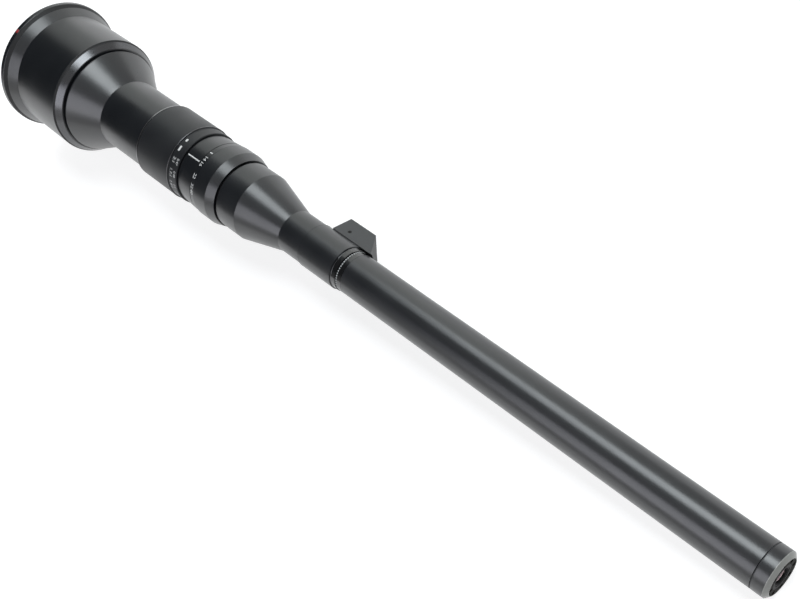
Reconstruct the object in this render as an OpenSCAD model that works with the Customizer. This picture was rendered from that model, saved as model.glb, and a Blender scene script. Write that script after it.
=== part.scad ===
// Probe macro lens: a long slim front tube with a lit tip, a focus ring, an aperture ring
// with a working seven-blade iris, and a bayonet mount at the rear.
// X runs along the optical axis from the mount face to the tip, Z up through the index marks.

/* [Mount] */
// Clear diameter through the mount
throat_d = 47; // [44:0.5:48]
// Wall of the bayonet tube that centres the mount
register_wall = 1.8; // [1.5:0.1:2]
// Length of the bayonet tube behind the mount face
register_len = 5.6; // [5:0.1:6.4]
// Height of the bayonet lugs above their tube
lug_h = 1.65; // [1.4:0.05:1.9]
// Thickness of a bayonet lug
lug_t = 1.3; // [1.1:0.1:1.8]
// Gap between the mount face and the lugs
lug_gap = 2.1; // [2.1:0.1:2.6]
// Angle that each lug spans
lug_span = 52; // [40:1:62]
// Width of the mount plate around the throat
plate_w = 7.5; // [7:0.1:8.5]
// Thickness of the mount plate
plate_t = 2; // [1.6:0.1:2.6]
// Head diameter of a mount screw
screw_head_d = 3.6; // [3:0.1:4]
// Thread diameter of a mount screw
screw_d = 2; // [1.6:0.1:2.2]
// Length of a mount screw
screw_len = 7; // [5:0.5:8]
// Diameter of the lock pin hole
lock_hole_d = 3.2; // [2.5:0.1:3.6]

/* [Rear housing] */
// Width of the rim around the mount plate
rim_lip = 2.5; // [2:0.1:4]
// Length of the rear rim
rim_len = 2.9; // [2.4:0.1:4]
// Distance of the rim's rear edge in front of the mount face
rim_setback = 0.4; // [0.2:0.1:0.8]
// Length of the bevel in front of the rim
bevel_len = 7.8; // [6:0.1:10]
// Height of the bevel, from the rear barrel to the rim
bevel_h = 3.65; // [3:0.05:4.5]
// Diameter of the index dot
dot_d = 2.2; // [1.6:0.1:2.6]
// How much the rear barrel's diameter grows towards the front
rear_flare = 0.5; // [0:0.1:1]
// Length of the rear barrel up to its shoulder
rear_len = 33.3; // [28:0.1:40]
// Wall thickness of the rear barrel
rear_wall = 2; // [1.6:0.1:2.4]
// Length of the sloping shoulder
shoulder_len = 4.2; // [3:0.1:5]
// Drop of the sloping shoulder
shoulder_drop = 2.7; // [2:0.1:3.5]
// Width of the groove in front of the shoulder
groove_w = 1.6; // [1:0.1:2.4]
// Depth of the groove below the shoulder
groove_depth = 2; // [1.6:0.1:2.6]
// Height of the cone's rear edge above the groove
cone_lip = 1; // [0.6:0.1:1.4]
// Length of the cone
cone_len = 16.7; // [14:0.1:22]
// Length of the neck
neck_len = 32.6; // [26:0.1:40]
// Wall thickness of the cone and neck
cone_wall = 2.4; // [2:0.1:2.6]
// Length of the rear lens cell
cell_len = 17; // [15:0.5:20]

/* [Inner barrel] */
// Inner diameter of the inner barrel that carries the rings
sleeve_bore_d = 27; // [26.6:0.1:27.4]
// Wall of the inner barrel under the rings
sleeve_wall = 2.5; // [2.2:0.1:2.8]
// Length of the inner barrel inside the neck
sleeve_tail = 15; // [10:0.5:24]
// Wall of the inner barrel inside the neck
tail_wall = 1.6; // [1.3:0.1:2]
// Length of the inner barrel inside the front barrel
sleeve_nose = 10; // [6:0.5:11]
// Wall of the inner barrel inside the front barrel
nose_wall = 1.1; // [0.9:0.1:1.3]

/* [Focus ring] */
// Width of the bright trim ring behind the focus ring
trim_w = 0.55; // [0.4:0.05:0.9]
// Wall of the focus grip
grip_wall = 2.75; // [2.6:0.05:3.5]
// Length of the focus grip
grip_len = 24.2; // [20:0.1:30]
// Wall of the distance scale band
band_wall = 2.2; // [2:0.05:2.4]
// Length of the distance scale band
band_len = 6.3; // [5:0.1:9]
// Turn of the focus ring from the stored position to its near stop
focus_turn = 170; // [120:5:170]
// Turn of the focus ring past the stored position to its far stop
focus_back_turn = 10; // [5:1:15]
// Travel of the focusing lens group over the focus turn
focus_travel = 6; // [3:0.5:8]
// Diameter of the focus key
focus_key_d = 2.8; // [2.2:0.1:3.2]
// Length of the focusing cell
focus_cell_len = 18; // [16:0.5:20]
// Wall of the focusing cell around its lenses
focus_cell_wall = 2.45; // [2:0.05:4]

/* [Aperture ring] */
// Gap between the focus ring and the index ring
ring_gap = 1; // [0.6:0.1:1.6]
// Wall of the index ring at its rear
index_wall = 1.4; // [1.2:0.1:1.7]
// How much the index ring's wall grows towards its front
index_rise = 0.6; // [0.3:0.1:0.7]
// Length of the index ring
index_len = 9.4; // [8:0.1:11]
// Slit between the index ring and the aperture ring
ring_slit = 0.15; // [0.1:0.05:0.3]
// Length of the figured band of the aperture ring
figures_len = 3.3; // [3:0.1:5]
// Height of the aperture grip above the figured band's rear edge
stop_rise = 0.4; // [0.3:0.05:1]
// Length of the aperture grip
stop_grip_len = 8.3; // [7:0.1:11]
// Length of the bevel at the front of the aperture ring
stop_bevel_len = 5; // [4:0.1:6]
// Drop of the bevel at the front of the aperture ring
stop_bevel_drop = 1.45; // [1.2:0.05:1.7]
// Turn of the aperture ring from the stored position to full aperture
stop_open_turn = 9.5; // [6:0.5:12]
// Turn of the aperture ring from the stored position to the smallest aperture
stop_close_turn = 47; // [36:1:50]

/* [Iris] */
// Diameter of the full aperture
iris_open_d = 10; // [9.6:0.1:10.4]
// Diameter of the smallest aperture
iris_small_d = 3.5; // [3:0.1:5]
// Width of a blade
blade_w = 4.4; // [4.2:0.05:4.5]
// Thickness of a blade
blade_t = 0.18; // [0.12:0.01:0.2]
// Gap between two blades' layers
blade_gap = 0.06; // [0.05:0.01:0.08]
// Distance from the rim of the cam ring to the blade pivots
pivot_inset = 2.7; // [2.5:0.05:2.8]
// Diameter of a blade's pivot pin
pivot_d = 0.8; // [0.6:0.05:0.9]
// Diameter of a blade's drive pin
drive_d = 0.7; // [0.5:0.05:0.8]
// Distance from a blade's pivot to its drive pin
drive_arm = 5; // [4.8:0.1:5.1]
// Thickness of the iris cam ring
cam_t = 1.6; // [1.5:0.1:2]
// Diameter of the aperture key
stop_key_d = 1.2; // [1:0.1:1.3]

/* [Front barrel] */
// Gap between the aperture ring and the front barrel
front_gap = 1.6; // [1:0.1:2.4]
// Wall of the front barrel around the inner barrel
front_wall = 1.8; // [1.5:0.1:2.1]
// Length of the front barrel's straight part
front_len = 12.5; // [11:0.1:16]
// Length of the front cone
front_cone_len = 23.4; // [18:0.1:30]
// Wall of the front neck around the probe tube
front_neck_wall = 1.55; // [1.3:0.05:1.7]
// Length of the front neck
front_neck_len = 13.8; // [10:0.1:20]
// Wall of the collar
collar_wall = 1.85; // [1.75:0.05:2.3]
// Length of the collar
collar_len = 20.7; // [18:0.1:26]
// Wall of the lock ring in front of the collar
lock_ring_wall = 1.3; // [1.1:0.05:1.6]
// Length of the lock ring
lock_ring_len = 3; // [2.4:0.1:4]

/* [Probe tube] */
// Bore of the probe tube
tube_bore_d = 15.8; // [15.4:0.1:16]
// Wall of the exposed probe tube
tube_wall = 1.65; // [1.5:0.05:1.8]
// Length of the exposed probe tube
tube_len = 209.2; // [160:0.2:240]
// Wall of the tube's rear end inside the collar
tube_tail_wall = 0.7; // [0.6:0.05:0.9]
// Gap between the probe tube and the inner optical tube
inner_tube_gap = 1.3; // [1.2:0.05:1.6]
// Wall thickness of the inner optical tube
inner_tube_wall = 0.6; // [0.4:0.1:0.9]
// Number of relay lens groups in the inner tube
relay_count = 5; // [3:1:6]
// Number of rings that centre the inner tube
spacer_count = 4; // [3:1:6]

/* [Tip] */
// Width of the seal groove
seal_w = 0.7; // [0.5:0.1:0.9]
// Depth of the seal groove
seal_depth = 0.65; // [0.5:0.05:0.8]
// Length of the tip ring in front of the seal
tip_ring_len = 4.5; // [4:0.1:5]
// Length of the pale bezel at the front edge
bezel_len = 1.5; // [1.3:0.1:1.8]
// Drop of the bezel at its front edge
bezel_drop = 1.65; // [1.4:0.05:1.9]
// Number of lamps around the tip
led_count = 8; // [6:2:12]
// Width of a lamp
chip_w = 1.5; // [1.2:0.1:1.6]
// Diameter of the front lens
front_lens_d = 8.2; // [7:0.1:8.6]
// Wall of the front lens cell
front_cell_wall = 1.2; // [1:0.1:1.4]

/* [Power box] */
// Direction of the power box around the axis, from the index
box_angle = 123; // [90:1:180]
// Distance from the rear of the collar to the power box
box_offset = 3; // [2:0.1:5]
// Length of the power box at the collar
box_len = 25.4; // [24:0.1:28]
// Length of the power box at its outer face
box_top_len = 15.6; // [14:0.1:17]
// Slope of the power box's rear face, as a length
box_rear_slope = 1.4; // [0:0.1:2]
// Width of the power box
box_w = 15; // [14:0.2:17]
// Height of the power box above the collar
box_h = 7.4; // [7:0.1:8]
// Wall thickness of the power box
box_wall = 1.2; // [1:0.1:1.4]
// Width of the power socket
socket_w = 7.6; // [7:0.1:9]
// Height of the power socket
socket_h = 2.9; // [2.6:0.1:3.2]
// Length of the power socket
socket_len = 5.4; // [5:0.1:6]

/* [Fits] */
// Radial clearance between pieces that slide, turn or seat in each other
fit = 0.05; // [0.03:0.01:0.08]
// Gap between flat faces that turn against each other
face_gap = 0.1; // [0.08:0.01:0.15]
// Gap between the power box and the collar
box_gap = 0.25; // [0.15:0.05:0.3]
// Chamfer on the outer edges of rings and housings
edge = 0.2; // [0.1:0.05:0.25]

/* [Hidden] */
$fn = 96;

// Places along the optical axis, each worked out from the length before it
x_rim = rim_setback;
x_bevel = x_rim + rim_len;
x_rear = x_bevel + bevel_len;
x_shoulder = x_rear + rear_len;
x_groove = x_shoulder + shoulder_len;
x_cone = x_groove + groove_w;
x_neck = x_cone + cone_len;
x_trim = x_neck + neck_len;
x_grip = x_trim + trim_w;
x_band = x_grip + grip_len;
x_band_end = x_band + band_len;
x_index = x_band_end + ring_gap;
x_index_end = x_index + index_len;
x_stop = x_index_end + ring_slit;
x_stop_grip = x_stop + figures_len;
x_stop_bevel = x_stop_grip + stop_grip_len;
x_stop_end = x_stop_bevel + stop_bevel_len;
x_front = x_stop_end + front_gap;
x_front_cone = x_front + front_len;
x_front_neck = x_front_cone + front_cone_len;
x_collar = x_front_neck + front_neck_len;
x_lock = x_collar + collar_len;
x_tube = x_lock + lock_ring_len;
x_tip = x_tube + tube_len;
x_tip_ring = x_tip + seal_w;
x_bezel = x_tip_ring + tip_ring_len;
x_tip_end = x_bezel + bezel_len;

// How far a cut runs past the face that it opens
cut = 1;

// Radii of the mount and the rear housing, from the throat outwards and then forwards
throat_r = throat_d / 2;
register_r = throat_r + register_wall;
plate_r = throat_r + plate_w;
screw_circle_r = (register_r + plate_r) / 2;
screw_sink = (screw_head_d - screw_d) / 2;
mount_relief = 1;
mount_bore_r = throat_r + mount_relief;
rim_r = plate_r + rim_lip;
rim_edge = 0.4;
dot_depth = 1;
rear_r = rim_r - bevel_h;
rear_end_r = rear_r + rear_flare / 2;
rear_bore_r = rear_r - rear_wall;
shoulder_r = rear_end_r - shoulder_drop;
joint_r = shoulder_r - groove_depth;
cone_r = joint_r + cone_lip;
joint_wall = 2.5;
cone_bore_r = joint_r - joint_wall;

// Threaded overlaps between the housings
mount_spigot = 4;
mount_spigot_wall = 2;
cone_spigot = 4;
spigot_bevel = 2;

// Radii of the inner barrel and of what turns on it
sleeve_bore_r = sleeve_bore_d / 2;
sleeve_r = sleeve_bore_r + sleeve_wall;
tail_r = sleeve_bore_r + tail_wall;
neck_r = tail_r + cone_wall;
nose_r = sleeve_bore_r + nose_wall;
gap_floor_r = nose_r + 0.8;
gap_floor_len = 1;
grip_r = sleeve_r + grip_wall;
band_r = sleeve_r + band_wall;
band_edge = 0.3;
index_r = sleeve_r + index_wall;
index_end_r = index_r + index_rise;
stop_grip_r = index_end_r + stop_rise;
stop_nose_r = stop_grip_r - stop_bevel_drop;
line_depth = 0.2;
line_w = 0.1;
retainer_drop = 0.5;
front_r = nose_r + front_wall;

// Radii of the probe
tube_bore_r = tube_bore_d / 2;
tube_r = tube_bore_r + tube_wall;
tube_tail_r = tube_bore_r + tube_tail_wall;
front_neck_r = tube_tail_r + front_neck_wall;
collar_r = tube_tail_r + collar_wall;
lock_ring_r = tube_tail_r + lock_ring_wall;
inner_tube_r = tube_bore_r - inner_tube_gap;
relay_r = inner_tube_r - inner_tube_wall - fit;

// Rear cell, in the rear end of the cone
cell_inset = 0.8;
cell_rim_t = 1.2;
cell_flange_bevel = 0.8;
cell_flange_t = 3.2;
cell_hub_r = 12.5;
cell_bore_r = 10.5;
cell_seat_r = 9;
cell_lens_depth = 3;
cell_lens_gap = 4;
x_cell = x_groove - cone_spigot + cell_inset;
x_cell_flange = x_cell + cell_rim_t + cell_flange_bevel;
x_cell_end = x_cell + cell_len;
x_rear_lens = x_cell + cell_lens_depth;
rear_edge_t = 2.6;
rear_lens_sag = 1.1;
cell_bore_slack = 1.6;

// Focus group: the key runs in a straight slot in the sleeve and a spiral groove in the ring
focus_key_r = focus_key_d / 2;
focus_key_reach = 1.2;
focus_key_top_r = sleeve_r + focus_key_reach;
focus_groove_room = 0.15;
focus_groove_slack = 0.25;
focus_groove_step = 5;
focus_stop_room = 2;
focus_slot_room = 0.3;
focus_key_angle = 180;
focus_key_depth = 0.95;
focus_cell_setback = 3;
x_focus_cell = x_grip + focus_cell_setback;
x_focus_key = x_focus_cell + focus_cell_len / 2;
focus_rate = focus_travel / focus_turn;
focus_cell_r = sleeve_bore_r - fit;
focus_lens_r = focus_cell_r - focus_cell_wall;
focus_seat = 1.2;
focus_front_depth = 5;
focus_rear_depth = 4;

// Iris: blades between the base floor and the cam ring, one layer each
blade_count = 7;
iris_setback = 1.05;
x_iris = x_stop + iris_setback;
iris_floor_t = 1.2;
iris_wall_t = 0.7;
iris_r = sleeve_bore_r - fit;
cam_r = iris_r - iris_wall_t - fit;
cam_bore_room = 0.4;
floor_bore_room = 0.2;
blade_pitch = blade_t + blade_gap;
x_blade = x_iris + iris_floor_t + face_gap;
x_cam = x_blade + blade_count * blade_pitch + face_gap;
x_cam_end = x_cam + cam_t;
x_stop_key = x_cam + cam_t / 2;
x_cover = x_cam_end + face_gap;
cover_t = 1;
cover_w = 2;
pivot_r = cam_r - pivot_inset;
pin_foot = 0.9;
pin_short = 0.2;
iris_open_r = iris_open_d / 2;
blade_arc_r = iris_open_r + blade_w;
blade_arc_span = 123;
blade_root = 2;
blade_tab_r = 1;
blade_bar_w = 1.2;
drive_rake = -104;
drive_pad = 0.35;
drive_slack = 0.08;
stop_turn = stop_open_turn + stop_close_turn;
blade_turn = 2 * asin((iris_open_r - iris_small_d / 2) / (2 * pivot_r));
blade_ratio = blade_turn / stop_turn;
blade_rest = blade_ratio * stop_open_turn;
stop_key_r = stop_key_d / 2;
stop_key_angle = 95;
stop_key_depth = 1;
stop_key_inner_r = cam_r - stop_key_depth;
stop_key_reach = 1.2;
stop_key_top_r = sleeve_r + stop_key_reach;
stop_slot_room = 0.1;
stop_end_room = 0.3;
slot_steps = 14;
slot_margin = 1;
lens_steps = 6;

// Lens cell in front of the iris
stop_cell_len = 12;
stop_cell_gap = 0.6;
stop_cell_wall = 4.4;
stop_seat = 1;
stop_seat_len = 3;
stop_second_lens = 8;
x_stop_cell = x_cover + cover_t + stop_cell_gap;
stop_lens_r = sleeve_bore_r - fit - stop_cell_wall;

// Inside of the front barrel
front_bore_drop = 0.4;
front_bore_bevel = 0.8;

// Rings and lenses along the inner tube
inner_tube_inset = 2;
spacer_len = 5;
spacer_lead = 6;
spacer_tail = 10;
notch_w = 4.4;
relay_lead = 12;
relay_tail = 16;
relay_edge_t = 2;
relay_sag = 0.7;
relay_gap = 5;

// Wire run under the power box
wire_r = 0.45;
wire_run_r = (inner_tube_r + tube_bore_r) / 2;
wire_side = 0.67;
wire_exit_offset = 11;
x_wire_exit = x_collar + box_offset + wire_exit_offset;
boss_r = 2;
boss_bore_r = 1.4;
boss_foot = 0.3;

// Tip pieces
seal_sink = 0.04;
tip_thread_r = tube_r - seal_depth;
tip_thread_len = 1.8;
tip_shell = 1.25;
tip_bore_r = tube_r - tip_shell;
x_thread = x_tip_ring + tip_thread_len;
bezel_edge = 0.2;
bezel_rim_t = 0.25;
bezel_bore_r = tube_r - bezel_drop - bezel_rim_t;
board_t = 0.8;
x_board = x_bezel - face_gap - board_t;
chip_t = 0.5;
mask_setback = 0.6;
mask_inset = 0.1;
x_mask = x_bezel + mask_setback;
x_mask_end = x_tip_end - mask_inset;
mask_hole_r = 0.85;
front_lens_r = front_lens_d / 2;
front_cell_r = front_lens_r + front_cell_wall;
front_cell_tail = 5;
front_cell_cone = 1;
front_cell_inset = 0.2;
x_front_cell = x_tip - front_cell_tail;
x_front_cell_end = x_tip_end - front_cell_inset;
front_seat = 0.6;
front_lens_depth = 3.6;
front_edge_t = 2.4;
front_sag = 0.7;
x_front_lens = x_front_cell_end - front_lens_depth;
front_retainer_w = 0.7;
front_retainer_inset = 0.2;
led_circle_r = (front_cell_r + bezel_bore_r) / 2;

// Power box
x_box = x_collar + box_offset;
box_top = collar_r + box_h;
box_saddle_r = collar_r + box_gap;
box_base = collar_r - 3.85;
box_floor_t = 0.9;
box_floor = box_saddle_r + box_floor_t;
box_edge = 0.4;
box_front_rate = (box_len - box_rear_slope - box_top_len) / (box_top - box_base);
box_rear_rate = box_rear_slope / (box_top - box_base);
cover_screw_offset = 7.4;
x_cover_screw = x_box + cover_screw_offset;
cover_screw_h = box_floor - 0.5;
cover_head_r = 0.9;
cover_head_t = 0.8;
cover_head_sink = 0.1;
cover_screw_r = 0.6;
cover_screw_len = 4.2;
cover_drive_r = 0.4;
cover_drive_depth = 0.6;
cover_boss_r = 1.3;
board_rest = 0.1;
board_side_gap = 0.4;
board_bottom = cover_screw_h + cover_boss_r + board_rest;
power_board_t = 0.8;
power_board_len = 15;
socket_bottom = board_bottom + power_board_t;
socket_shell = 0.35;
tongue_setback = 0.8;
tongue_side = 1.6;
tongue_t = 0.6;

// A solid of revolution about the optical axis, from points written as [x, radius]
module turned(points) {
    rotate([0, 90, 0])
        rotate_extrude()
            polygon([for (p = points) [p[1], p[0]]]);
}

// A plain ring from x0 to x1
module ring(x0, x1, outer_r, inner_r) {
    turned([[x0, inner_r], [x0, outer_r], [x1, outer_r], [x1, inner_r]]);
}

// A solid cylinder along the optical axis
module rod(x0, x1, r) {
    translate([x0, 0, 0])
        rotate([0, 90, 0])
            cylinder(r = r, h = x1 - x0);
}

// Places children at an angle from the index, measured from +Z towards +Y
module at_angle(a) {
    rotate([-a, 0, 0])
        children();
}

// A cylinder along a radius at x and angle a, from r0 to r1 away from the axis
module radial_pin(x, a, r0, r1, r) {
    at_angle(a)
        translate([x, 0, r0])
            cylinder(r = r, h = r1 - r0);
}

// A sector of a ring, centred on angle a and spanning an angle
module sector(x0, x1, outer_r, inner_r, a, span) {
    at_angle(a + span / 2 - 180)
        rotate([0, 90, 0])
            rotate_extrude(angle = span)
                polygon([[inner_r, x0], [outer_r, x0], [outer_r, x1], [inner_r, x1]]);
}

// A lens with its edge from x to x + edge_t, and faces that bulge past the edge
module lens(x, r, edge_t, rear_sag, front_sag) {
    shares = [for (i = [0:lens_steps]) i / lens_steps];
    rear = [for (s = shares) [x - rear_sag * (1 - s * s), r * s]];
    front = [for (s = shares) [x + edge_t + front_sag * s * (2 - s), r * (1 - s)]];
    turned(concat(rear, front));
}

// Mount

module bayonet_mount() {
    color("silver")
        difference() {
            union() {
                ring(0, plate_t, plate_r, throat_r);
                turned([
                    [-register_len, throat_r],
                    [-register_len, register_r - edge],
                    [-register_len + edge, register_r],
                    [plate_t, register_r],
                    [plate_t, throat_r]
                ]);
                for (i = [0:2])
                    sector(-lug_gap - lug_t, -lug_gap, register_r + lug_h,
                        throat_r + register_wall / 2, i * 120, lug_span);
            }
            for (i = [0:3])
                mount_screw_cut(45 + i * 90);
            at_angle(90)
                translate([0, 0, screw_circle_r])
                    rod(-cut, plate_t + cut, lock_hole_d / 2);
        }
}

// Clearance hole and countersink for one mount screw
module mount_screw_cut(a) {
    at_angle(a)
        translate([0, 0, screw_circle_r])
            rotate([0, 90, 0]) {
                translate([0, 0, -cut])
                    cylinder(r = screw_d / 2 + fit, h = plate_t + 2 * cut);
                translate([0, 0, -0.01])
                    cylinder(r1 = screw_head_d / 2 + fit, r2 = screw_d / 2 + fit, h = screw_sink);
            }
}

module mount_screws() {
    slot_w = 0.4;
    color("gainsboro")
        for (i = [0:3])
            at_angle(45 + i * 90)
                translate([0, 0, screw_circle_r])
                    rotate([0, 90, 0])
                        difference() {
                            translate([0, 0, fit])
                                union() {
                                    cylinder(r1 = screw_head_d / 2 - fit, r2 = screw_d / 2,
                                        h = screw_sink);
                                    cylinder(r = screw_d / 2, h = screw_len);
                                }
                            for (turn = [0, 90])
                                rotate([0, 0, turn])
                                    cube([screw_head_d * 0.55, slot_w, 1], center = true);
                        }
}

module mount_ring() {
    color([0.09, 0.09, 0.09])
        difference() {
            turned([
                [x_rim, plate_r + fit],
                [x_rim, rim_r - rim_edge],
                [x_rim + rim_edge, rim_r],
                [x_bevel - edge, rim_r],
                [x_bevel, rim_r - edge],
                [x_rear, rear_r],
                [x_rear, rear_bore_r - fit],
                [x_rear + mount_spigot, rear_bore_r - fit],
                [x_rear + mount_spigot, rear_bore_r - mount_spigot_wall],
                [x_rear, min(mount_bore_r, rear_bore_r - mount_spigot_wall)],
                [plate_t, mount_bore_r],
                [plate_t, plate_r + fit]
            ]);
            for (i = [0:3])
                at_angle(45 + i * 90)
                    translate([0, 0, screw_circle_r])
                        rod(0, screw_len + 0.3, screw_d / 2 + fit);
            radial_pin(x_rim + rim_len / 2, 0, rim_r - dot_depth, rim_r + cut, dot_d / 2 + fit);
        }
}

module index_dot() {
    dome_r = 2;
    color("firebrick")
        intersection() {
            radial_pin(x_rim + rim_len / 2, 0, rim_r - dot_depth + fit, rim_r + cut, dot_d / 2);
            translate([x_rim + rim_len / 2, 0, rim_r - dome_r + edge])
                sphere(r = dome_r);
        }
}

// Rear housing

module rear_barrel() {
    color([0.11, 0.11, 0.11])
        turned([
            [x_rear, rear_bore_r],
            [x_rear, rear_r],
            [x_shoulder, rear_end_r],
            [x_groove - edge, shoulder_r],
            [x_groove, shoulder_r - edge],
            [x_groove, joint_r + fit],
            [x_groove - cone_spigot, joint_r + fit],
            [x_groove - cone_spigot - spigot_bevel, rear_bore_r]
        ]);
}

module rear_cone() {
    color([0.1, 0.1, 0.1])
        turned([
            [x_groove - cone_spigot, cone_bore_r],
            [x_groove - cone_spigot, joint_r],
            [x_cone, joint_r],
            [x_cone, cone_r - edge],
            [x_cone + edge, cone_r],
            [x_neck, neck_r],
            [x_trim - edge, neck_r],
            [x_trim, neck_r - edge],
            [x_trim, tail_r],
            [x_neck + 0.6, tail_r],
            [x_cone + cell_bore_slack, cone_bore_r]
        ]);
}

module rear_cell() {
    color([0.08, 0.08, 0.08])
        turned([
            [x_cell, cell_bore_r],
            [x_cell, cell_hub_r],
            [x_cell + cell_rim_t, cell_hub_r],
            [x_cell_flange, cone_bore_r - fit],
            [x_cell_flange + cell_flange_t, cone_bore_r - fit],
            [x_cell_flange + cell_flange_t, cell_hub_r],
            [x_cell_end, cell_hub_r],
            [x_cell_end, cell_seat_r],
            [x_rear_lens + rear_edge_t, cell_seat_r],
            [x_rear_lens + rear_edge_t, cell_bore_r]
        ]);
}

module rear_lenses() {
    color([0.6, 0.75, 0.8, 0.4]) {
        lens(x_rear_lens, cell_bore_r - fit, rear_edge_t, rear_lens_sag, 0);
        lens(x_cell_end - cell_lens_gap, cell_seat_r - fit, 2.4, 1, 0.8);
    }
}

module rear_retainer() {
    x0 = x_cell + 0.4;
    x1 = x_rear_lens - 0.15;
    lip = 0.6;
    color([0.07, 0.07, 0.07])
        turned([
            [x0, cell_bore_r - fit],
            [x1, cell_bore_r - fit],
            [x1, cell_bore_r - lip],
            [x0 + 2 * lip, cell_seat_r],
            [x0, cell_seat_r + lip]
        ]);
}

module trim_ring() {
    color("silver")
        ring(x_trim, x_grip - face_gap, grip_r, sleeve_r + fit);
}

// Inner barrel with the guide slot of the focus key and the arc slot of the aperture key
module main_barrel() {
    color([0.13, 0.13, 0.13])
        difference() {
            turned([
                [x_trim - sleeve_tail, sleeve_bore_r],
                [x_trim - sleeve_tail, tail_r - fit],
                [x_trim, tail_r - fit],
                [x_trim, sleeve_r],
                [x_stop_end - gap_floor_len, sleeve_r],
                [x_stop_end - gap_floor_len, gap_floor_r],
                [x_front, gap_floor_r],
                [x_front, nose_r],
                [x_front + sleeve_nose, nose_r],
                [x_front + sleeve_nose, sleeve_bore_r]
            ]);
            focus_slot();
            stop_key_slot(sleeve_r + cut, sleeve_bore_r - cut);
        }
}

// Straight slot that lets the focus key travel and stops it from turning
module focus_slot() {
    x0 = x_focus_key - focus_rate * focus_back_turn - focus_slot_room;
    x1 = x_focus_key + focus_travel + focus_slot_room;
    r = focus_key_r + fit;
    for (x = [x0, x1])
        radial_pin(x, focus_key_angle, sleeve_bore_r - cut, sleeve_r + cut, r);
    at_angle(focus_key_angle)
        translate([x0, -r, sleeve_bore_r - cut])
            cube([x1 - x0, 2 * r, sleeve_wall + 2 * cut]);
}

// Arc slot for the aperture key, as long as the turn of the ring
module stop_key_slot(outer_r, inner_r) {
    room = 2 * asin((stop_key_r + stop_end_room) / sleeve_bore_r);
    middle = stop_key_angle + (stop_close_turn - stop_open_turn) / 2;
    half = stop_key_r + stop_slot_room;
    sector(x_stop_key - half, x_stop_key + half, outer_r, inner_r, middle, stop_turn + room);
}

module focus_retainer() {
    color([0.05, 0.05, 0.05])
        ring(x_band_end + face_gap, x_index, index_r - retainer_drop, sleeve_r + fit);
}

module index_ring() {
    color([0.1, 0.1, 0.1])
        turned([
            [x_index, sleeve_r + fit],
            [x_index, index_r - edge],
            [x_index + edge, index_r],
            [x_index_end, index_end_r],
            [x_index_end, sleeve_r + fit]
        ]);
}

// Moving rings

module focus_ring() {
    color([0.12, 0.12, 0.12])
        difference() {
            turned([
                [x_grip, sleeve_r + fit],
                [x_grip, grip_r - edge],
                [x_grip + edge, grip_r],
                [x_band - band_edge, grip_r],
                [x_band, band_r],
                [x_band_end - band_edge, band_r],
                [x_band_end, band_r - band_edge],
                [x_band_end, sleeve_r + fit]
            ]);
            focus_groove();
        }
}

// Spiral groove inside the focus ring, cut by the path of the key
module focus_groove() {
    first = -focus_turn - focus_stop_room;
    last = focus_back_turn + focus_stop_room;
    steps = ceil((last - first) / focus_groove_step);
    for (i = [0:steps]) {
        turn = first + i * (last - first) / steps;
        radial_pin(x_focus_key - focus_rate * turn, focus_key_angle + turn,
            sleeve_r - cut, focus_key_top_r + focus_groove_room, focus_key_r + focus_groove_slack);
    }
}

module focus_cell() {
    x_end = x_focus_cell + focus_cell_len;
    color([0.35, 0.3, 0.15])
        difference() {
            turned([
                [x_focus_cell, focus_lens_r - focus_seat],
                [x_focus_cell, focus_cell_r],
                [x_end, focus_cell_r],
                [x_end, focus_lens_r + fit],
                [x_end - focus_front_depth, focus_lens_r + fit],
                [x_end - focus_front_depth, focus_lens_r - focus_seat]
            ]);
            radial_pin(x_focus_key, focus_key_angle, focus_cell_r - cut, focus_cell_r + cut,
                focus_key_r + fit);
        }
}

module focus_lenses() {
    color([0.6, 0.75, 0.8, 0.4]) {
        lens(x_focus_cell + focus_cell_len - focus_front_depth, focus_lens_r, 2, 0, 1.2);
        lens(x_focus_cell + focus_rear_depth, focus_lens_r - focus_seat - fit, 2.4, 1.2, 0.8);
    }
}

module focus_key() {
    color("goldenrod")
        radial_pin(x_focus_key, focus_key_angle, focus_cell_r - focus_key_depth, focus_key_top_r,
            focus_key_r);
}

module aperture_ring() {
    color([0.11, 0.11, 0.11])
        difference() {
            turned([
                [x_stop, sleeve_r + fit],
                [x_stop, index_end_r],
                [x_stop_grip - 2 * line_w, stop_grip_r - line_w],
                [x_stop_grip - line_w, stop_grip_r - line_w - line_depth],
                [x_stop_grip, stop_grip_r],
                [x_stop_bevel, stop_grip_r],
                [x_stop_end, stop_nose_r],
                [x_stop_end, sleeve_r + fit]
            ]);
            radial_pin(x_stop_key, stop_key_angle, sleeve_r - cut, stop_key_top_r + face_gap,
                stop_key_r + fit);
        }
}

module aperture_key() {
    color("goldenrod")
        radial_pin(x_stop_key, stop_key_angle, stop_key_inner_r, stop_key_top_r, stop_key_r);
}

// Iris

// Place of a blade's drive pin about the axis for a blade turned by b from full aperture
function drive_point(b) = [
    pivot_r + drive_arm * cos(drive_rake + b),
    drive_arm * sin(drive_rake + b)
];

// Angle around the axis of blade number i's pivot, in the plane of the iris
function blade_angle(i) = i * 360 / blade_count;

// Puts children drawn in the plane of the iris at x, with their height along the axis
module in_iris_plane(x) {
    translate([x, 0, 0])
        rotate([0, 90, 0])
            children();
}

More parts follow.
